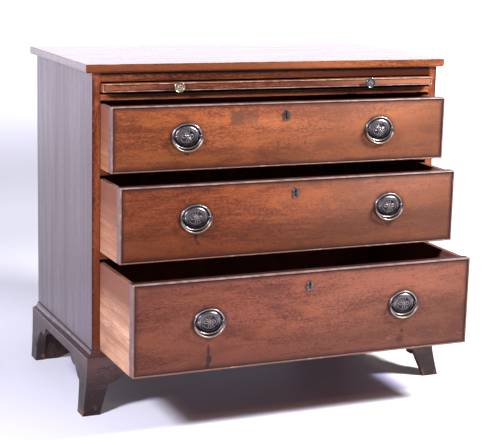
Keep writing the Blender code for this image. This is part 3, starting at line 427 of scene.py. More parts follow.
def drawer_front_finish(key):
    """The show face of a drawer, with its own figure and stains, a painted sheen towards the right, painted
    shade towards the left, and grime and a painted shadow line along its border.
    """
    low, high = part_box(f"drawer_{key}_front")
    middle, painted_sheen, tilt, contrast = FRONT_LOOKS[key]
    red, green, blue = middle
    seed = 7 + 5 * DRAWERS.index(key)
    p, height = wood(f"front_{key}", "X", seed, about(middle), contrast, radians(tilt))
    cloud = p.noise((4, 4, 12), 4, 0.6, 0.9, (seed * 0.9, 0, 0), (0, 0.35, 0))
    p.tint((0.35 * red, 0.33 * green, 0.55 * blue), cloud, 0.5, 0.72, 0.6)
    glow = p.noise((5, 5, 15), 4, 0.6, 1.2, (seed * 1.9, 0, 0), (0, -0.55, 0))
    p.tint((1.6 * red, 1.75 * green, 1.3 * blue), glow, 0.48, 0.7, 0.65)
    # Painted sheen of reflected light towards the right, and painted shade at the left; darker along the
    # foot, reaching higher at the left, and at the right end
    x, _, z = p.axes()
    p.tint(WEAR_AND_SHEEN, x, low.x * 0.7, high.x, painted_sheen)
    shade = [0.3 * part for part in middle]
    p.lay(p.remap(x, low.x + 0.02, low.x + 0.44, 0.45, 0), shade)
    sunk = p.less(z, p.times(p.less(x, low.x), 0.12))
    p.tint(shade, sunk, low.z + 0.07, low.z - 0.03, 0.55)
    p.tint(shade, x, high.x - 0.11, high.x - 0.01, 0.2)
    scratches(p, INK, seed, 0.35, 0.55)
    scratches(p, WEAR_AND_SHEEN, seed + 3, -0.5, 0.25)
    specks(p, seed + 0.3, INK, 90, 0.17, 0.3, 0.85)
    specks(p, seed + 0.7, INK, 120, 0.15, 0.28, 0.75, 2.2)
    specks(p, seed + 0.5, WEAR_AND_SHEEN, 150, 0.14, 0.15, 0.6, 1.6)
    front_marks(p, key)
    inner_low, inner_high = (low.x + BEAD, low.z + BEAD), (high.x - BEAD, high.z - BEAD)
    border_dirt_and_shadow(p, INK, inner_low, inner_high, 15 * MM, 0.75)
    return polish(p, height, 0.4, 0.05, 0.2, 0.08 * MM, 0.16)


def drawer_side_finish(key):
    """Drawer side: bare oak in a tone painted for how its drawer is lit, soiled along its top, with polish
    on the front board's end.
    """
    seed = 2.0 + DRAWERS.index(key)
    face_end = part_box(f"drawer_{key}_front")[1].y
    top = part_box(f"drawer_{key}_side_left")[1].z
    p, height = wood(f"oak_{key}_side", "Y", seed, about(OAK_LIT_AND_SHADED[key], 0.62, 1.2), 0.9)
    _, y, z = p.axes()
    lines = p.noise((130, 3, 130), 3, 0.6, 0.3, (seed, 0, seed))
    p.tint([0.5 * part for part in OAK_LIT_AND_SHADED[key]], lines, 0.46, 0.62, 0.5)
    grime = p.noise((6, 5, 30), 4, 0.6, 0.6, (seed, 0, 0))
    p.tint((0.28, 0.13, 0.09), grime, 0.55, 0.75, 0.4)
    reach = p.add(z, p.times(grime, 0.05))
    p.tint((0.175, 0.062, 0.038), reach, top - 0.085, top - 0.005, 0.9)
    specks(p, seed + 9, (0.06, 0.035, 0.025), 45, 0.07, 0.2, 0.7)
    back = p.less(y, p.times(grime, 10 * MM))
    polished = p.remap(back, face_end - 7 * MM, face_end - 3 * MM, 1, 0)
    p.lay(polished, p.mix(grime, (0.09, 0.045, 0.05), (0.17, 0.085, 0.085)))
    return p.done(Roughness=p.remap(polished, 0, 1, 0.65, 0.3),
                  Specular_IOR_Level=p.remap(polished, 0, 1, 0.15, 0.4), Normal=p.bump(height, 0.1 * MM))


def shaded_lining_finish():
    """Inner faces of the drawers: oak painted dark as painted shade, with grime."""
    p, height = wood("oak_lining_painted_shade", "Y", 4, SHADED_LINING_TONES, 0.9)
    grime = p.noise((6, 4, 40), 4, 0.6, 0.6)
    p.tint((0.07, 0.045, 0.032), grime, 0.5, 0.75, 0.55)
    return p.done(Roughness=0.7, Specular_IOR_Level=0.3, Normal=p.bump(height, 0.1 * MM))


def pine_finish():
    """Dusty, unpolished pine."""
    p, height = wood("pine_boards", "Z", 12, PINE_TONES, 1.1)
    p.tint((0.07, 0.05, 0.038), p.cloud(12, 4, 0.6), 0.45, 0.8, 0.45)
    return p.done(Roughness=0.8, Normal=p.bump(height, 0.12 * MM))


def plinth_finish():
    """The base: nearly black polish on the feet, darker towards the floor, with a painted lit band along
    its top, rubbed to bare wood at the toes.
    """
    p, height = wood("plinth_polish", "X", 31, MAHOGANY_DARK)
    _, _, z = p.axes()
    patches = p.cloud(38, 4, 0.7)
    p.tint((0.014, 0.008, 0.009), z, 0.1, 0.03, 0.75)
    low = p.remap(p.less(z, p.times(patches, 0.05)), -0.026, -0.01, 1, 0)
    p.lay(p.times(low, p.remap(patches, 0.5, 0.64, 0, 0.8)), (0.3, 0.115, 0.05))
    # Painted light: a redder, lighter band along the plinth's top
    p.tint((0.08, 0.028, 0.02), p.add(z, p.times(patches, 0.02)), 0.112, 0.13, 0.5)
    specks(p, 5.5, (0.3, 0.2, 0.15), 60, 0.07, 0.12, 0.6)
    scratches(p, (0.2, 0.1, 0.07), 2.0, 0.6, 0.15)
    return polish(p, height, 0.42, 0.15, 0.22, 0.12 * MM, 0.3)


def metal(name, dark, light, rough):
    """Patinated metal, paler where it is rubbed."""
    p = Paint(name)
    cloud = p.cloud(160, 4, 0.6)
    fine = p.cloud(900, 2, 0.5)
    p.colour = p.tinted(dark, light, cloud, 0.35, 0.65, 1)
    return p.done(Metallic=1.0, Normal=p.bump(fine, 0.02 * MM, 0.6),
                  Roughness=p.remap(cloud, 0.3, 0.7, rough + 0.08, rough - 0.06))


def bail_brass():
    """Bail metal: bright along its foot, part finger wear and part painted highlight; dark up by its pins.
    """
    p = Paint("brass_bail")
    # Wear and painted highlight: brighter towards the bail's foot
    pulled_and_lit = p.remap(p.axes()["Z"], -3 * MM, -14 * MM, 0.1, 0.85)
    pulled_and_lit = p.swayed(pulled_and_lit, p.cloud(160, 4, 0.6), 0.5)
    p.colour = p.mix(pulled_and_lit, (0.035, 0.03, 0.031), (0.37, 0.31, 0.25))
    return p.done(Metallic=0.85, Roughness=0.36)


def stamped_brass(name, tones):
    """Old brass: black in the hollows, brown-grey on the slopes, bright where hands and cloths rub, and on
    the plates darker over the dome's lower half, as painted shade.
    """
    p = Paint(name)
    worn = p.node("Attribute", {})
    worn.attribute_name = "rub"
    rub = p.swayed(worn.outputs["Fac"], p.cloud(140, 4, 0.6), 0.5)
    p.colour = p.ramp(rub, zip((0.05, 0.4, 0.95), tones))
    fine = p.cloud(900, 2, 0.5)
    return p.done(Metallic=0.93, Normal=p.bump(fine, 0.02 * MM, 0.6),
                  Roughness=p.remap(rub, 0.0, 0.8, 0.46, 0.26))


def add_object(name, data):
    """A new object in the scene."""
    obj = bpy.data.objects.new(name, data)
    bpy.context.scene.collection.objects.link(obj)
    return obj


def mesh_of(bm, name):
    """A mesh made of a bmesh, which is freed."""
    mesh = bpy.data.meshes.new(name)
    bm.to_mesh(mesh)
    bm.free()
    return mesh


def smoothed(mesh, material, sharp):
    """A mesh with its material, shaded smooth up to an angle in degrees."""
    mesh.materials.append(material)
    mesh.shade_smooth()
    mesh.set_sharp_from_angle(angle=radians(sharp))
    return mesh


def placed(name, mesh, place, body):
    """An object with a mesh that may be shared, riding on a body."""
    obj = add_object(name, mesh)
    obj.location = place
    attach(obj, body)
    return obj


def mesh_piece(name, bm, body, materials):
    """Make an object of a bmesh that is in place, riding on a body."""
    mesh = mesh_of(bm, name)
    for material in materials:
        mesh.materials.append(material)
    return placed(name, mesh, (0, 0, 0), body)


def middle_at(node, y=0.0):
    """The middle of a node's box in X and Z, at a given Y."""
    low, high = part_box(node)
    return Vector(((low.x + high.x) / 2, y, (low.z + high.z) / 2))


def arrises(bm):
    """The edges where two faces meet at a marked angle."""
    return [edge for edge in bm.edges
            if len(edge.link_faces) == 2 and edge.calc_face_angle() > SHARP]


def dress(node, face, arris, width, other=None, chosen=None):
    """A copy of a CAD board with worn arrises, their width in mm, which stands for its node.

    Faces whose normal passes the chosen test take the other material.
    """
    bm = bmesh.new()
    bm.from_mesh(NODES[node].data)
    bmesh.ops.remove_doubles(bm, verts=bm.verts, dist=WELD)
    bmesh.ops.dissolve_limit(bm, angle_limit=radians(0.5), verts=bm.verts, edges=bm.edges)
    for edge in [edge for edge in arrises(bm) if edge.calc_length() > 3 * ARRIS_STEP]:
        bmesh.ops.subdivide_edges(bm, edges=[edge], cuts=int(edge.calc_length() / ARRIS_STEP))
    weights = bm.edges.layers.float.new("bevel_weight_edge")
    for edge in arrises(bm):
        middle = (edge.verts[0].co + edge.verts[1].co) / 2
        rub = noise.noise(middle * 38) + 0.5 * noise.noise(middle * 110)
        edge[weights] = min(1.0, max(0.12, 0.45 + 0.55 * rub))
    materials = [face, arris]
    if other is not None:
        materials.append(other)
        for polygon in bm.faces:
            if chosen(polygon.normal):
                polygon.material_index = 2
    obj = mesh_piece(node + "_finish", bm, NODES[node]["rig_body"], materials)
    bevel = obj.modifiers.new("arris", "BEVEL")
    bevel.limit_method = "WEIGHT"
    bevel.width = 2 * width * MM
    bevel.segments = 2
    bevel.material = 1
    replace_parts(obj, node)


def smooth_step(a, b, x):
    """A smooth rise from 0 at one value to 1 at another."""
    t = min(1.0, max(0.0, (x - a) / (b - a)))
    return t * t * (3 - 2 * t)


def around(count):
    """Angles of spokes that are spread evenly."""
    return [2 * pi * spoke / count for spoke in range(count)]


def loft(bm, rings):
    """Faces between rings of the same number of points."""
    for inner, outer in zip(rings, rings[1:]):
        for spoke in range(len(inner)):
            after = (spoke + 1) % len(inner)
            bm.faces.new((inner[spoke], outer[spoke], outer[after], inner[after]))


# Share of half the width from the middle out, height in mm over the drawer's face, rubbing
PLATE_PROFILE = (
    (0.0, 4.2, 0.12), (0.47, 4.1, 0.12), (0.49, 4.5, 0.5), (0.51, 4.5, 0.5), (0.53, 4.1, 0.0),
    (0.55, 4.7, 0.35), (0.58, 4.95, 0.5), (0.62, 4.85, 0.6), (0.66, 4.55, 0.62), (0.7, 4.0, 0.6),
    (0.735, 3.2, 0.5), (0.765, 2.2, 0.25), (0.785, 1.4, 0.0), (0.8, 1.2, 0.0), (0.85, 1.2, 0.0),
    (0.865, 1.6, 0.05), (0.885, 2.5, 0.3), (0.905, 3.1, 0.75), (0.93, 3.35, 0.85), (0.955, 3.1, 0.7),
    (0.975, 2.5, 0.45), (0.99, 1.6, 0.3), (1.0, 0.7, 0.2),
)


def spiral_points(centre, first_radius, last_radius, first_turn, turns, steps):
    """Points of a scroll, in shares of the plate's half sizes."""
    points = []
    for step in range(steps + 1):
        share = step / steps
        radius = first_radius + (last_radius - first_radius) * share
        turn = 2 * pi * (first_turn + turns * share)
        points.append((centre[0] + radius * cos(turn), centre[1] + radius * sin(turn)))
    return points


def medallion_points():
    """Strokes and beads of the stamped medallion: two scrolls, leaves between them and a row of beads."""
    points = spiral_points((-0.21, 0.02), 0.2, 0.05, 0.18, 1.3, 44)
    points += spiral_points((0.23, -0.03), 0.19, 0.05, 0.55, -1.3, 42)
    for turn in (70, 95, 120, 250, 275, 300):
        for step in range(7):
            share = 0.1 + 0.05 * step
            bent = radians(turn) + 0.5 * (share - 0.1)
            points.append((share * cos(bent), share * sin(bent)))
    reach = 0.465
    return points, [(reach * cos(turn), reach * sin(turn)) for turn in around(MEDALLION_BEADS)]


def medallion_relief(u, v, strokes, beads):
    """Relief from 0 to 1 at a point of the medallion, in shares of the plate's half sizes."""
    near = min((u - a) ** 2 + (v - b) ** 2 for a, b in strokes)
    bead = min((u - a) ** 2 + (v - b) ** 2 for a, b in beads)
    flower = 0.8 * abs(cos(2.5 * atan2(v, u))) * exp(-(hypot(u, v) / 0.07) ** 2)
    return min(1.0, exp(-near / 0.024 ** 2) + 0.8 * exp(-bead / 0.018 ** 2) + flower)


def profile_at(share, column):
    """A column of the plate's profile at a share of the way from the middle to the rim."""
    for before, after in zip(PLATE_PROFILE, PLATE_PROFILE[1:]):
        if share <= after[0]:
            step = (share - before[0]) / (after[0] - before[0])
            return before[column] + (after[column] - before[column]) * step
    return PLATE_PROFILE[-1][column]


def plate_mesh(material):
    """The stamped oval plate, with its middle at the origin and facing -Y."""
    bm = bmesh.new()
    rub = bm.verts.layers.float.new("rub")
    strokes, beads = medallion_points()
    shares = [MEDALLION * (ring + 1) / FINE_RINGS for ring in range(FINE_RINGS)]
    shares += [MEDALLION + (1 - MEDALLION) * (ring + 1) / PLATE_RINGS for ring in range(PLATE_RINGS)]
    centre = bm.verts.new((0, -(PLATE_PROFILE[0][1] + RELIEF) * MM, 0))
    centre[rub] = 1.0
    rings = []
    for share in shares:
        verts = []
        for turn in around(PLATE_SPOKES):
            u, v = share * cos(turn), share * sin(turn)
            relief = medallion_relief(u, v, strokes, beads) if share <= MEDALLION else 0.0
            out = profile_at(share, 1) + RELIEF * relief
            vert = bm.verts.new((u * PLATE_WIDTH / 2, -out * MM, v * PLATE_HEIGHT / 2))
            # Painted shade: the dome's lower half is painted less bright
            under = smooth_step(-0.2, 0.7, -sin(turn)) if MEDALLION < share < DOME_END else 0.0
            vert[rub] = profile_at(share, 2) * (1 - 0.85 * under) + 0.75 * relief
            verts.append(vert)
        rings.append(verts)
    for first, second in zip(rings[0], rings[0][1:] + rings[0][:1]):
        bm.faces.new((centre, first, second))
    rings.append([bm.verts.new((v.co.x, -PLATE_BACK, v.co.z)) for v in rings[-1]])
    loft(bm, rings)
    bm.faces.new(rings[-1])
    bmesh.ops.recalc_face_normals(bm, faces=bm.faces)
    return smoothed(mesh_of(bm, "stamped_plate"), material, 60)


def turned_mesh(name, profile, steps, material):
    """A profile of (radius, distance out of the face) turned about the Y axis."""
    mesh = bpy.data.meshes.new(name)
    mesh.from_pydata([(radius, 0, out) for radius, out in profile],
                     [(i, i + 1) for i in range(len(profile) - 1)], [])
    obj = add_object(name, mesh)
    screw = obj.modifiers.new("turn", "SCREW")
    screw.axis = "Z"
    screw.steps = screw.render_steps = steps
    screw.use_merge_vertices = True
    screw.merge_threshold = WELD
    made = flattened(obj)
    made.transform(Matrix.Rotation(radians(90), 4, "X"))
    return smoothed(made, material, 45)


def flattened(obj):
    """The welded mesh that an object's modifiers or bevel make. The object is removed."""
    bpy.context.view_layer.update()
    graph = bpy.context.evaluated_depsgraph_get()
    made = bpy.data.meshes.new_from_object(obj.evaluated_get(graph))
    bm = bmesh.new()
    bm.from_mesh(made)
    bmesh.ops.remove_doubles(bm, verts=bm.verts, dist=WELD)
    bmesh.ops.recalc_face_normals(bm, faces=bm.faces)
    bm.to_mesh(made)
    bm.free()
    made.name = obj.name
    bpy.data.objects.remove(obj, do_unlink=True)
    return made


def arc_points(centre, radii, first, last, steps):
    """Points of an oval arc between two angles in degrees."""
    points = []
    for step in range(steps + 1):
        turn = radians(first + (last - first) * step / steps)
        points.append((centre[0] + radii[0] * cos(turn), centre[1] + radii[1] * sin(turn)))
    return points


def bail_mesh(material):
    """The swinging bail, with the middle of its two pins at the origin."""
    inside = POST_X - POST_HEAD * 0.6 + 0.3 * MM
    outside = POST_X + POST_HEAD + 0.3 * MM
    first = degrees(asin(BAIL_CORNER / BAIL_DROP))
    corner = arc_points((outside, -BAIL_CORNER), (BAIL_HALF - outside, BAIL_CORNER), 90, 0, 6)
    oval = arc_points((0, 0), (BAIL_HALF, BAIL_DROP), -first, first - 180, 44)
    right = [(inside, 0)] + corner[:-1]
    left = [(-x, z) for x, z in right[::-1]]
    # The bar is thin in the eyes, thickest beside them and a little thinner at the foot
    thin = BAIL_PIN / BAIL_RADIUS
    ends = [thin, thin] + [thin + (1.12 - thin) * step / 5 for step in range(1, 6)]
    body = [0.92 + 0.1 * cos(2 * pi * step / (len(oval) - 1)) for step in range(len(oval))]
    curve = bpy.data.curves.new("bail", "CURVE")
    curve.dimensions = "3D"
    curve.bevel_depth = BAIL_RADIUS
    curve.bevel_resolution = 5
    curve.use_fill_caps = True
    spline = curve.splines.new("POLY")
    path = right + oval + left
    spline.points.add(len(path) - 1)
    for point, (x, z), radius in zip(spline.points, path, ends + body + ends[::-1]):
        point.co = (x, 0, z, 1)
        point.radius = radius
    return smoothed(flattened(add_object("bail", curve)), material, 60)


def post_mesh(material, face_to_nut):
    """A turned post: its round eyed head, its neck and its shank, which ends past the nut."""
    head = arc_points((0, PIVOT_OUT), (POST_HEAD, POST_HEAD), 90, -38, 10)
    end = -face_to_nut - NUT_THICK - SHANK_END
    profile = [(0, PIVOT_OUT + POST_HEAD)] + head[1:]
    profile += [(POST_NECK, 2.6 * MM), (POST_NECK, 1.6 * MM), (SHANK, 1.2 * MM),
                (SHANK, end + 0.6 * MM), (SHANK * 0.7, end), (0, end)]
    return turned_mesh("handle_post", profile, 24, material)


def cube(bm, size, middle, lean=0.0):
    """A box put into a bmesh, turned about Y."""
    made = bmesh.ops.create_cube(bm, size=1)["verts"]
    bmesh.ops.scale(bm, vec=size, verts=made)
    bmesh.ops.rotate(bm, matrix=Matrix.Rotation(lean, 3, "Y"), verts=made)
    bmesh.ops.translate(bm, vec=middle, verts=made)


def stud(bm, radii, rise, middle, segments):
    """A round head put into a bmesh, tapering towards +Y."""
    made = bmesh.ops.create_cone(bm, cap_ends=True, segments=segments, radius1=radii[0],
                                 radius2=radii[1], depth=rise)["verts"]
    bmesh.ops.rotate(bm, matrix=Matrix.Rotation(radians(-90), 3, "X"), verts=made)
    bmesh.ops.translate(bm, vec=middle, verts=made)


def rounded(bm, edges, offset, segments=2):
    """Round some edges of a bmesh."""
    bmesh.ops.bevel(bm, geom=edges, offset=offset, segments=segments, profile=0.5, affect="EDGES")


def nut_mesh(material, face_to_nut):
    """A square nut with rounded corners, as it sits behind the drawer front."""
    bm = bmesh.new()
    cube(bm, (2 * NUT_HALF, NUT_THICK, 2 * NUT_HALF), (0, face_to_nut + NUT_THICK / 2, 0))
    upright = [e for e in bm.edges if abs(e.verts[0].co.y - e.verts[1].co.y) > NUT_THICK / 2]
    rounded(bm, upright, 1.6 * MM, 4)
    rounded(bm, [e for e in bm.edges if e.calc_face_angle() > 1], 0.5 * MM)
    mesh = mesh_of(bm, "handle_nut")
    mesh.materials.append(material)
    return mesh


def make_handles(stamped, brass, rubbed, iron):
    """Plates, posts, nuts and bails of all six handles."""
    low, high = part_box("drawer_lower_front")
    face_to_nut = high.y - low.y + 0.3 * MM
    plate = plate_mesh(stamped)
    bail = bail_mesh(rubbed)
    post = post_mesh(brass, face_to_nut)
    nut = nut_mesh(iron, face_to_nut)
    for key in DRAWERS:
        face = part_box(f"drawer_{key}_front")[0].y
        body = "drawer_" + key
        for side, _ in SIDES:
            node = f"drawer_{key}_handle_plate_{side}"
            middle = middle_at(node, face)
            shown = placed(f"plate_{key}_{side}", plate, middle, body)
            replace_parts(shown, node)
            for post_side, sign in SIDES:
                place = middle + Vector((sign * POST_X, 0, 0))
                name = f"{key}_{side}_{post_side}"
                placed("post_" + name, post, place, body)
                placed("nut_" + name, nut, place, body)
            swing = placed(f"bail_{key}_{side}", bail, middle - Vector((0, PIVOT_OUT, 0)),
                           f"bail_{key}_{side}")
            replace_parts(swing, f"drawer_{key}_bail_{side}")


# Share of the radius, share of the reach, petals and rubbing, from the face's middle back
KNOB_PROFILE = (
    (0.001, 0.985, 0, 0.9), (0.08, 0.98, 0, 0.8), (0.14, 0.93, 0, 0.1), (0.18, 0.915, 0.4, 0.4),
    (0.3, 0.93, 1, 0.8), (0.45, 0.94, 1, 0.8), (0.58, 0.925, 1, 0.6), (0.68, 0.905, 0.5, 0.2),
    (0.75, 0.9, 0, 0.0), (0.8, 0.93, 0, 0.3), (0.86, 0.98, 0, 0.8), (0.91, 1.0, 0, 0.9),
    (0.96, 0.985, 0, 0.8), (1.0, 0.92, 0, 0.6), (0.985, 0.84, 0, 0.4), (0.9, 0.77, 0, 0.2),
    (0.7, 0.7, 0, 0.1), (0.48, 0.62, 0, 0.1), (0.38, 0.5, 0, 0.2), (0.34, 0.35, 0, 0.3),
    (0.37, 0.24, 0, 0.3), (0.42, 0.17, 0, 0.4), (0.46, 0.12, 0, 0.4), (0.48, 0.05, 0, 0.2),
    (0.47, 0.02, 0, 0.1), (0.17, 0.02, 0, 0.1), (0.16, -0.95, 0, 0.1), (0.001, -0.95, 0, 0.1),
)


def knob_mesh(material, radius, reach):
    """A turned knob whose face is a rosette of petals in a raised rim."""
    bm = bmesh.new()
    rub = bm.verts.layers.float.new("rub")
    rings = []
    for share, out, petals, rubbed in KNOB_PROFILE:
        verts = []
        for turn in around(KNOB_SPOKES):
            petal = petals * (abs(cos(KNOB_PETALS / 2 * turn)) - 0.5)
            vert = bm.verts.new((share * radius * cos(turn), -out * reach - 0.5 * MM * petal,
                                 share * radius * sin(turn)))
            vert[rub] = rubbed + 0.8 * petal
            verts.append(vert)
        rings.append(verts)
    loft(bm, rings)
    bm.faces.new(rings[0])
    bm.faces.new(rings[-1])
    bmesh.ops.recalc_face_normals(bm, faces=bm.faces)
    return smoothed(mesh_of(bm, "rosette_knob"), material, 55)


def make_knobs():
    """The left knob is rubbed to pale gold, and the right one has gone green and black."""
    tones = {"left": ((0.1, 0.08, 0.05), (0.34, 0.27, 0.17), (0.72, 0.62, 0.46)),
             "right": ((0.015, 0.018, 0.018), (0.07, 0.08, 0.08), (0.3, 0.32, 0.32))}
    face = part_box("slide_front_edge")[0].y + KNOB_SEAT
    low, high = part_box("slide_knob_left")
    for side, _ in SIDES:
        material = stamped_brass("brass_knob_" + side, tones[side])
        mesh = knob_mesh(material, (high.x - low.x) / 2, face - low.y)
        node = "slide_knob_" + side
        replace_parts(placed("knob_" + side, mesh, middle_at(node, face), "slide"), node)


def curve_plate(name, outlines, thick, round_by, material):
    """A plate with rounded edges cut to outlines in X and Z, facing -Y, its back at the origin."""
    curve = bpy.data.curves.new(name, "CURVE")
    curve.dimensions = "2D"
    curve.fill_mode = "BOTH"
    curve.extrude = thick / 2 - round_by
    curve.bevel_depth = round_by
    curve.bevel_resolution = 3
    curve.offset = -round_by
    for outline in outlines:
        spline = curve.splines.new("POLY")
        spline.points.add(len(outline) - 1)
        for point, place in zip(spline.points, outline):
            point.co = (*place, 0, 1)
        spline.use_cyclic_u = True
    mesh = flattened(add_object(name, curve))
    mesh.transform(Matrix.Rotation(radians(90), 4, "X"))
    mesh.transform(Matrix.Translation((0, -thick / 2, 0)))
    return smoothed(mesh, material, 40)


def make_escutcheons(brass):
    """Pill-shaped keyhole plates, domed a little at their rims."""
    low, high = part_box("drawer_lower_escutcheon")
    half, tall = (high.x - low.x) / 2, (high.z - low.z) / 2
    straight = tall - half
    pill = (arc_points((0, straight), (half, half), 0, 180, 20)
            + arc_points((0, -straight), (half, half), 180, 360, 20))
    round_high, slot_low, radius, slot = 4.4 * MM, -6.9 * MM, 2.5 * MM, 1.5 * MM
    turn = degrees(asin(slot / radius))
    keyhole = ([(-slot, slot_low), (slot, slot_low)]
               + arc_points((0, round_high), (radius, radius), turn - 90, 270 - turn, 18))
    mesh = curve_plate("keyhole_plate", [pill, keyhole], high.y - low.y, 0.5 * MM, brass)
    for key in DRAWERS:
        node = f"drawer_{key}_escutcheon"
        place = middle_at(node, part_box(node)[1].y)
        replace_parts(placed("escutcheon_" + key, mesh, place, "drawer_" + key), node)


def make_lock_screws(iron):
    """Four slotted screw heads on the back of each lock."""
    inset, radius, rise, slot, lean = 7 * MM, 3 * MM, 0.9 * MM, 0.7 * MM, 900
    low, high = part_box("drawer_lower_lock")
    half_x, half_z = (high.x - low.x) / 2 - inset, (high.z - low.z) / 2 - inset
    bm, cutters = bmesh.new(), bmesh.new()
    for x in (-half_x, half_x):
        for z in (-half_z, half_z):
            stud(bm, (radius, radius * 0.75), rise, (x, rise / 2, z), 20)
            # Slots on one diagonal lean one way, and those on the other lean the other way
            cube(cutters, (slot, rise, 4 * radius), (x, rise, z), x * z * lean)
    heads = add_object("lock_screws", mesh_of(bm, "lock_screws"))
    slots = add_object("lock_slots", mesh_of(cutters, "lock_slots"))
    cut = heads.modifiers.new("slots", "BOOLEAN")
    cut.object = slots
    cut.operation = "DIFFERENCE"
    made = flattened(heads)
    bpy.data.objects.remove(slots, do_unlink=True)
    made.materials.append(iron)
    for key in DRAWERS:
        node = f"drawer_{key}_lock"
        placed("lock_screws_" + key, made, middle_at(node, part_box(node)[1].y), "drawer_" + key)


def make_back_boards(pine):
    """The back: upright boards with gaps between them, every second one a little thinner."""
    low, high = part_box("back_panel")
    pitch = (high.x - low.x) / BACK_BOARDS
    gap, recess = 1.2 * MM, 0.5 * MM
    bm = bmesh.new()
    for number in range(BACK_BOARDS):
        first = low.x + number * pitch + (gap if number else 0)
        last = low.x + (number + 1) * pitch
        back = high.y - recess * (number % 2)
        cube(bm, (last - first, back - low.y, high.z - low.z),
             ((first + last) / 2, (low.y + back) / 2, (low.z + high.z) / 2))
    rounded(bm, bm.edges[:], 0.5 * MM)
    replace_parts(mesh_piece("back_boards", bm, "carcase", [pine]), "back_panel")


def make_back_nails(iron):
    """Two nails at the top and two at the bottom of each back board, not quite in line."""
    low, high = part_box("back_panel")
    pitch = (high.x - low.x) / BACK_BOARDS
    inset, rise, wander = 9 * MM, 0.8 * MM, 1.5 * MM
    bm = bmesh.new()
    for number in range(BACK_BOARDS):
        for share in (0.2, 0.8):
            x = low.x + (number + share) * pitch
            for z in (low.z + inset, high.z - inset):
                off = wander * noise.noise((x * 50, z * 50, 0))
                stud(bm, (2.4 * MM, 1.7 * MM), rise, (x, high.y + rise / 4, z + off), 12)
    mesh_piece("back_nails", bm, "carcase", [iron])


def facing(x, y):
    """A test for faces that look in a level direction, given in X and Y."""
    return lambda normal: normal.x * x + normal.y * y > 0.6


def dirt_and_shadow_lines(p, axis, middle, first, last, strength):
    """Broken dark lines along both borders of a strip, by the distance from its middle line; on the top
    rail they are a painted shadow.
    """
    away = p.math("ABSOLUTE", p.less(p.axes()[axis], middle))
    reach = p.swayed(away, p.cloud(110, 3, 0.65), 4 * (last - first))
    p.tint(INK, reach, first, last, strength)


def shaded(name, grain, seed, tones, axis, low, high, dark, lines=None, coat=0.1, **looks):
    """Mahogany that goes darker from one place to another along an axis."""
    p, height = wood(name, grain, seed, tones)
    p.tint(tones[0], p.axes()[axis], low, high, dark)
    if lines is not None:
        dirt_and_shadow_lines(p, *lines)
    specks(p, seed, INK)
    specks(p, seed + 0.6, INK, 120, 0.16, 0.3, 0.75)
    return polish(p, height, 0.4, coat, 0.2, **looks)


def make_top(edge):
    """The top board, with grime along its edge, and the rail beneath it, painted darker towards its right
    and with a painted shadow of the top's overhang along its top.
    """
    low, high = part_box("top_board")
    middle, half = (low.z + high.z) / 2, (high.z - low.z) / 2
    dark_lines = ("Z", middle, half - 3 * MM, half, 0.75)
    top = mahogany("top_polish", "X", 6, TOP_TONES, 0.28, 0.9, 0.13, 0.4, 0.02 * MM,
                   shine=0.5, sweep=(2.5, 45, 45))
    top_edge = shaded("top_edge_polish", "X", 16, about((0.26, 0.08, 0.028)), "X", 0.45, -0.15, 0.8,
                      dark_lines, 0, shine=0.07)
    dress("top_board", top, edge, 0.5, top_edge, facing(0, -1))
    low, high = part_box("top_rail")
    tall = high.z - low.z
    # Measured from the rail's foot, so that only its top takes the painted shadow
    dark_lines = ("Z", low.z, tall - 9 * MM, tall - 5 * MM, 0.8)
    # Painted shade: the rail darkens towards its right, and its top takes the painted shadow of the top's
    # overhang
    rail = shaded("top_rail_painted_shadow", "X", 14, about((0.15, 0.042, 0.016), 0.3), "X", -0.3, 0.3, 1.0,
                  dark_lines, 0, shine=0.06)
    dress("top_rail", rail, edge, 0.4)


def make_carcase(edge):
    """The lower rails, the sides, the base moulding and the plinth."""
    rail = shaded("rail_polish", "X", 3, MAHOGANY_RED, "X", 0.4, -0.4, 0.3)
    # Painted light: the rail beneath the slide takes a much paler copy of the rails' mahogany
    lit_slide_rail = shaded("slide_rail_painted_light", "X", 13, about((0.38, 0.105, 0.036)), "X", 0.4, -0.4, 0.2)
    dress("web_frame_slide", lit_slide_rail, edge, 0.4)
    for node in ("web_frame_lower", "web_frame_upper"):
        dress(node, rail, edge, 0.4)
    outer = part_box("side_panel_right")[1].x
    dark_lines = ("X", 0, outer - 5.5 * MM, outer - 1.5 * MM, 0.9)
    stile = shaded("stile_polish", "Z", 4, about((0.25, 0.064, 0.021)), "Z", 0.6, 0.15, 1.0,
                   dark_lines, shine=0.15)
    side = mahogany("side_polish", "Z", 5, SIDE_TONES, 0.3, 0.48, 0.2, 0.55, shine=0.5, sweep=(45, 45, 2.5))
    dark_edge = worn_edge("rubbed_dark_arris", MAHOGANY_DARK, (0.4, 0.19, 0.11), 0.6)
    dirty_edge = worn_edge("dirty_arris", about((0.07, 0.026, 0.02)), (0.26, 0.1, 0.05), 0.25)
    base = plinth_finish()
    for name, _ in SIDES:
        dress("side_panel_" + name, side, dirty_edge, 0.6, stile, facing(0, -1))
        dress("base_moulding_" + name, side, dark_edge, 0.25)
        dress("plinth_" + name, base, dark_edge, 0.9)
    dress("base_moulding_front", base, edge, 0.25)
    dress("plinth_front", base, dark_edge, 0.9)


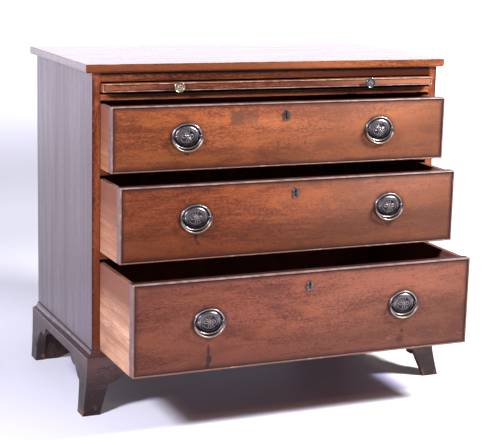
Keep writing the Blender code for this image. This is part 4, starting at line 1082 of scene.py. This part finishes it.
def slide_edge_finish():
    """The slide's front edge: pale rubbed beads above, below and at the ends of a darker field, with a
    painted pool of light on the field's right part and a painted shadow line in the quirk.
    """
    low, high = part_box("slide_front_edge")
    p, height = wood("slide_edge_polish", "X", 9, about((0.16, 0.045, 0.018)), 1.3)
    near = edge_distance(p, (low.x, low.z), (high.x, high.z))
    x, y, _ = p.axes()
    # Only the front counts as border, not the top and bottom behind it
    near = p.add(near, p.remap(y, low.y + 2.5 * MM, low.y + 4.5 * MM, 0, 10 * MM))
    pale = p.tinted((0.24, 0.1, 0.065), (0.42, 0.28, 0.22), p.cloud(60, 4, 0.65), 0.4, 0.6, 1)
    p.lay(p.remap(near, 1.6 * MM, 2.6 * MM, 0.9, 0), pale)
    # Painted light on the field's right part
    painted_light_right = p.times(p.remap(x, 0.05, 0.35, 0, 0.65), p.remap(near, 3 * MM, 4 * MM))
    p.lay(painted_light_right, (0.4, 0.16, 0.085))
    # Painted shadow: a dark line in the quirk beside the beads
    quirk = p.math("ABSOLUTE", p.less(near, 3.1 * MM))
    p.lay(p.remap(quirk, 0.3 * MM, 1.1 * MM, 0.9, 0), INK)
    specks(p, 2.2, INK, 90, 0.14, 0.3, 0.8)
    return polish(p, height, 0.38, 0.06, 0.2, shine=0.18)


def make_slide():
    """The slide's board and its beaded front edge."""
    edge = worn_edge("slide_arris", MAHOGANY_PINK, amount=0.8)
    dress("slide_board", mahogany("slide_polish", "X", 8, TOP_TONES, 0.34, 0.3), edge, 0.4)
    dress("slide_front_edge", slide_edge_finish(), edge, 0.25)


def make_drawers():
    """Fronts with their beads, and the oak boxes behind them."""
    end_grain = mahogany("front_end_grain", "Z", 21, about((0.1, 0.05, 0.05)), 0.32, 0.2, 0.25, 0.8,
                         shine=0.45)
    rub = worn_edge("front_arris", MAHOGANY_PINK, amount=0.7)
    oak_edge = worn_edge("oak_arris", OAK_TONES, (0.62, 0.45, 0.32), 0.8)
    shaded_lining = shaded_lining_finish()
    for key in DRAWERS:
        name = "drawer_" + key
        dress(name + "_front", drawer_front_finish(key), rub, 0.35, end_grain, facing(-1, 0))
        bead = bead_finish(key)
        dress(name + "_cockbead", bead, bead, 0.2)
        outer = drawer_side_finish(key)
        for side, sign in SIDES:
            dress(f"{name}_side_{side}", shaded_lining, oak_edge, 0.5, outer, facing(sign, 0))
        dress(name + "_back", shaded_lining, oak_edge, 0.4)
        dress(name + "_bottom", shaded_lining, oak_edge, 0.3)


def make_hidden(iron, pine):
    """The bottom board and the rear brackets, and the locks and bolts, which only take a material."""
    dress("bottom_board", pine, pine, 0.4)
    stained = mahogany("bracket_stain", "Z", 17, about((0.05, 0.024, 0.018)), 0.6, 0.0)
    for side, _ in SIDES:
        dress("rear_bracket_" + side, stained, stained, 0.4)
    for key in DRAWERS:
        for part in ("lock", "lock_bolt"):
            materials = NODES[f"drawer_{key}_{part}"].data.materials
            materials.clear()
            materials.append(iron)


def make_floor():
    """A pale floor with a painted shadow beneath the chest, which glows into white behind the chest and far
    out at its sides.
    """
    bm = bmesh.new()
    bmesh.ops.create_grid(bm, x_segments=1, y_segments=1, size=30)
    floor = add_object("floor", mesh_of(bm, "floor"))
    p = Paint("floor_paper")
    x, y, _ = p.axes()
    p.colour = p.mix(p.cloud(3, 2, 0.5), (0.86, 0.87, 0.93), (0.89, 0.9, 0.95))
    # Painted shadow beneath the chest, from behind its front left foot to its right foot
    front = p.times(p.remap(x, -0.27, -0.2), p.remap(y, -0.24, -0.2))
    corner = p.times(p.remap(x, -0.41, -0.36), p.remap(y, -0.11, -0.05))
    under = p.times(p.math("MAXIMUM", front, corner), p.remap(x, 0.38, 0.33, 0, 0.45))
    under = p.times(under, p.remap(y, 0.3, 0.2))
    p.lay(under, (0.02, 0.0, 0.5))
    # What the floor gives out, as it goes back and aside: from where, to where and how much
    glow = 0.0
    for value, low, high, amount in ((y, 0.2, 0.75, 0.29), (y, 1.6, 2.4, 0.17), (y, 2.5, 5.5, 0.6),
                                     (x, -0.24, -0.5, 0.09), (x, -0.8, -1.4, 0.32), (x, 0.6, 1.5, 0.6)):
        glow = p.add(p.remap(value, low, high, 0, amount), glow)
    floor.data.materials.append(
        p.done(Roughness=0.6, Emission_Color=(0.84, 0.83, 1.0, 1), Emission_Strength=glow))


def make_surround():
    """A dim surround with a white back, which fades out upwards."""
    world = bpy.data.worlds.new("surround")
    tree = Tree(world, "Generated")
    _, y, z = tree.axes()
    back = tree.times(tree.remap(y, 0.65, 0.85, 0, 1.5), tree.remap(z, 0.4, 0.2))
    background = tree.nodes["Background"]
    tree.put(background.inputs["Strength"], tree.add(back, 0.018))
    tree.put(background.inputs["Color"], (0.94, 0.9, 1.0, 1))
    bpy.context.scene.world = world


def make_lights():
    """Two soft boxes, high at the front left and front right, turned to the chest and out of sight."""
    target = Vector((0, -0.15, 0.35))
    for name, place, power, colour in (("left_light", (-2.05, -1.12, 1.78), 100, (0.86, 0.85, 1.0)),
                                       ("right_light", (1.5, -1.0, 1.8), 110, (1.0, 0.97, 0.95))):
        light = bpy.data.lights.new(name, "AREA")
        light.shape = "SQUARE"
        light.size = 0.45
        light.energy = power
        light.color = colour
        obj = add_object(name, light)
        obj.location = place
        obj.rotation_euler = (target - Vector(place)).to_track_quat("-Z", "Y").to_euler()
        obj.visible_camera = False


def make_camera():
    """The camera, placed and turned as it was for the photograph."""
    yaw, pitch, roll = CAMERA_TURN
    ahead = Vector((-sin(yaw) * cos(pitch), cos(yaw) * cos(pitch), -sin(pitch)))
    across = Vector((cos(yaw), sin(yaw), 0))
    up = across.cross(ahead)
    right = across * cos(roll) + up * sin(roll)
    top = up * cos(roll) - across * sin(roll)
    camera = bpy.data.cameras.new("camera")
    camera.lens = LENS
    obj = add_object("camera", camera)
    turn = Matrix((right, top, -ahead)).transposed()
    obj.matrix_world = Matrix.Translation(CAMERA_PLACE) @ turn.to_4x4()
    bpy.context.scene.camera = obj


make_camera()
brass = metal("brass_patina", (0.06, 0.052, 0.055), (0.2, 0.175, 0.165), 0.34)
stamped = stamped_brass("brass_stamped", ((0.014, 0.011, 0.014), (0.115, 0.1, 0.106), (0.52, 0.46, 0.44)))
iron = metal("iron_dull", (0.035, 0.03, 0.028), (0.12, 0.11, 0.1), 0.55)
pine = pine_finish()
rubbed_edge = worn_edge("rubbed_arris", MAHOGANY_RED, amount=0.7)
make_top(rubbed_edge)
make_carcase(rubbed_edge)
make_slide()
make_drawers()
make_handles(stamped, brass, bail_brass(), iron)
make_knobs()
make_escutcheons(brass)
make_lock_screws(iron)
make_back_boards(pine)
make_back_nails(iron)
make_hidden(iron, pine)
make_floor()
make_surround()
make_lights()
bpy.context.scene.view_settings.view_transform = "Standard"
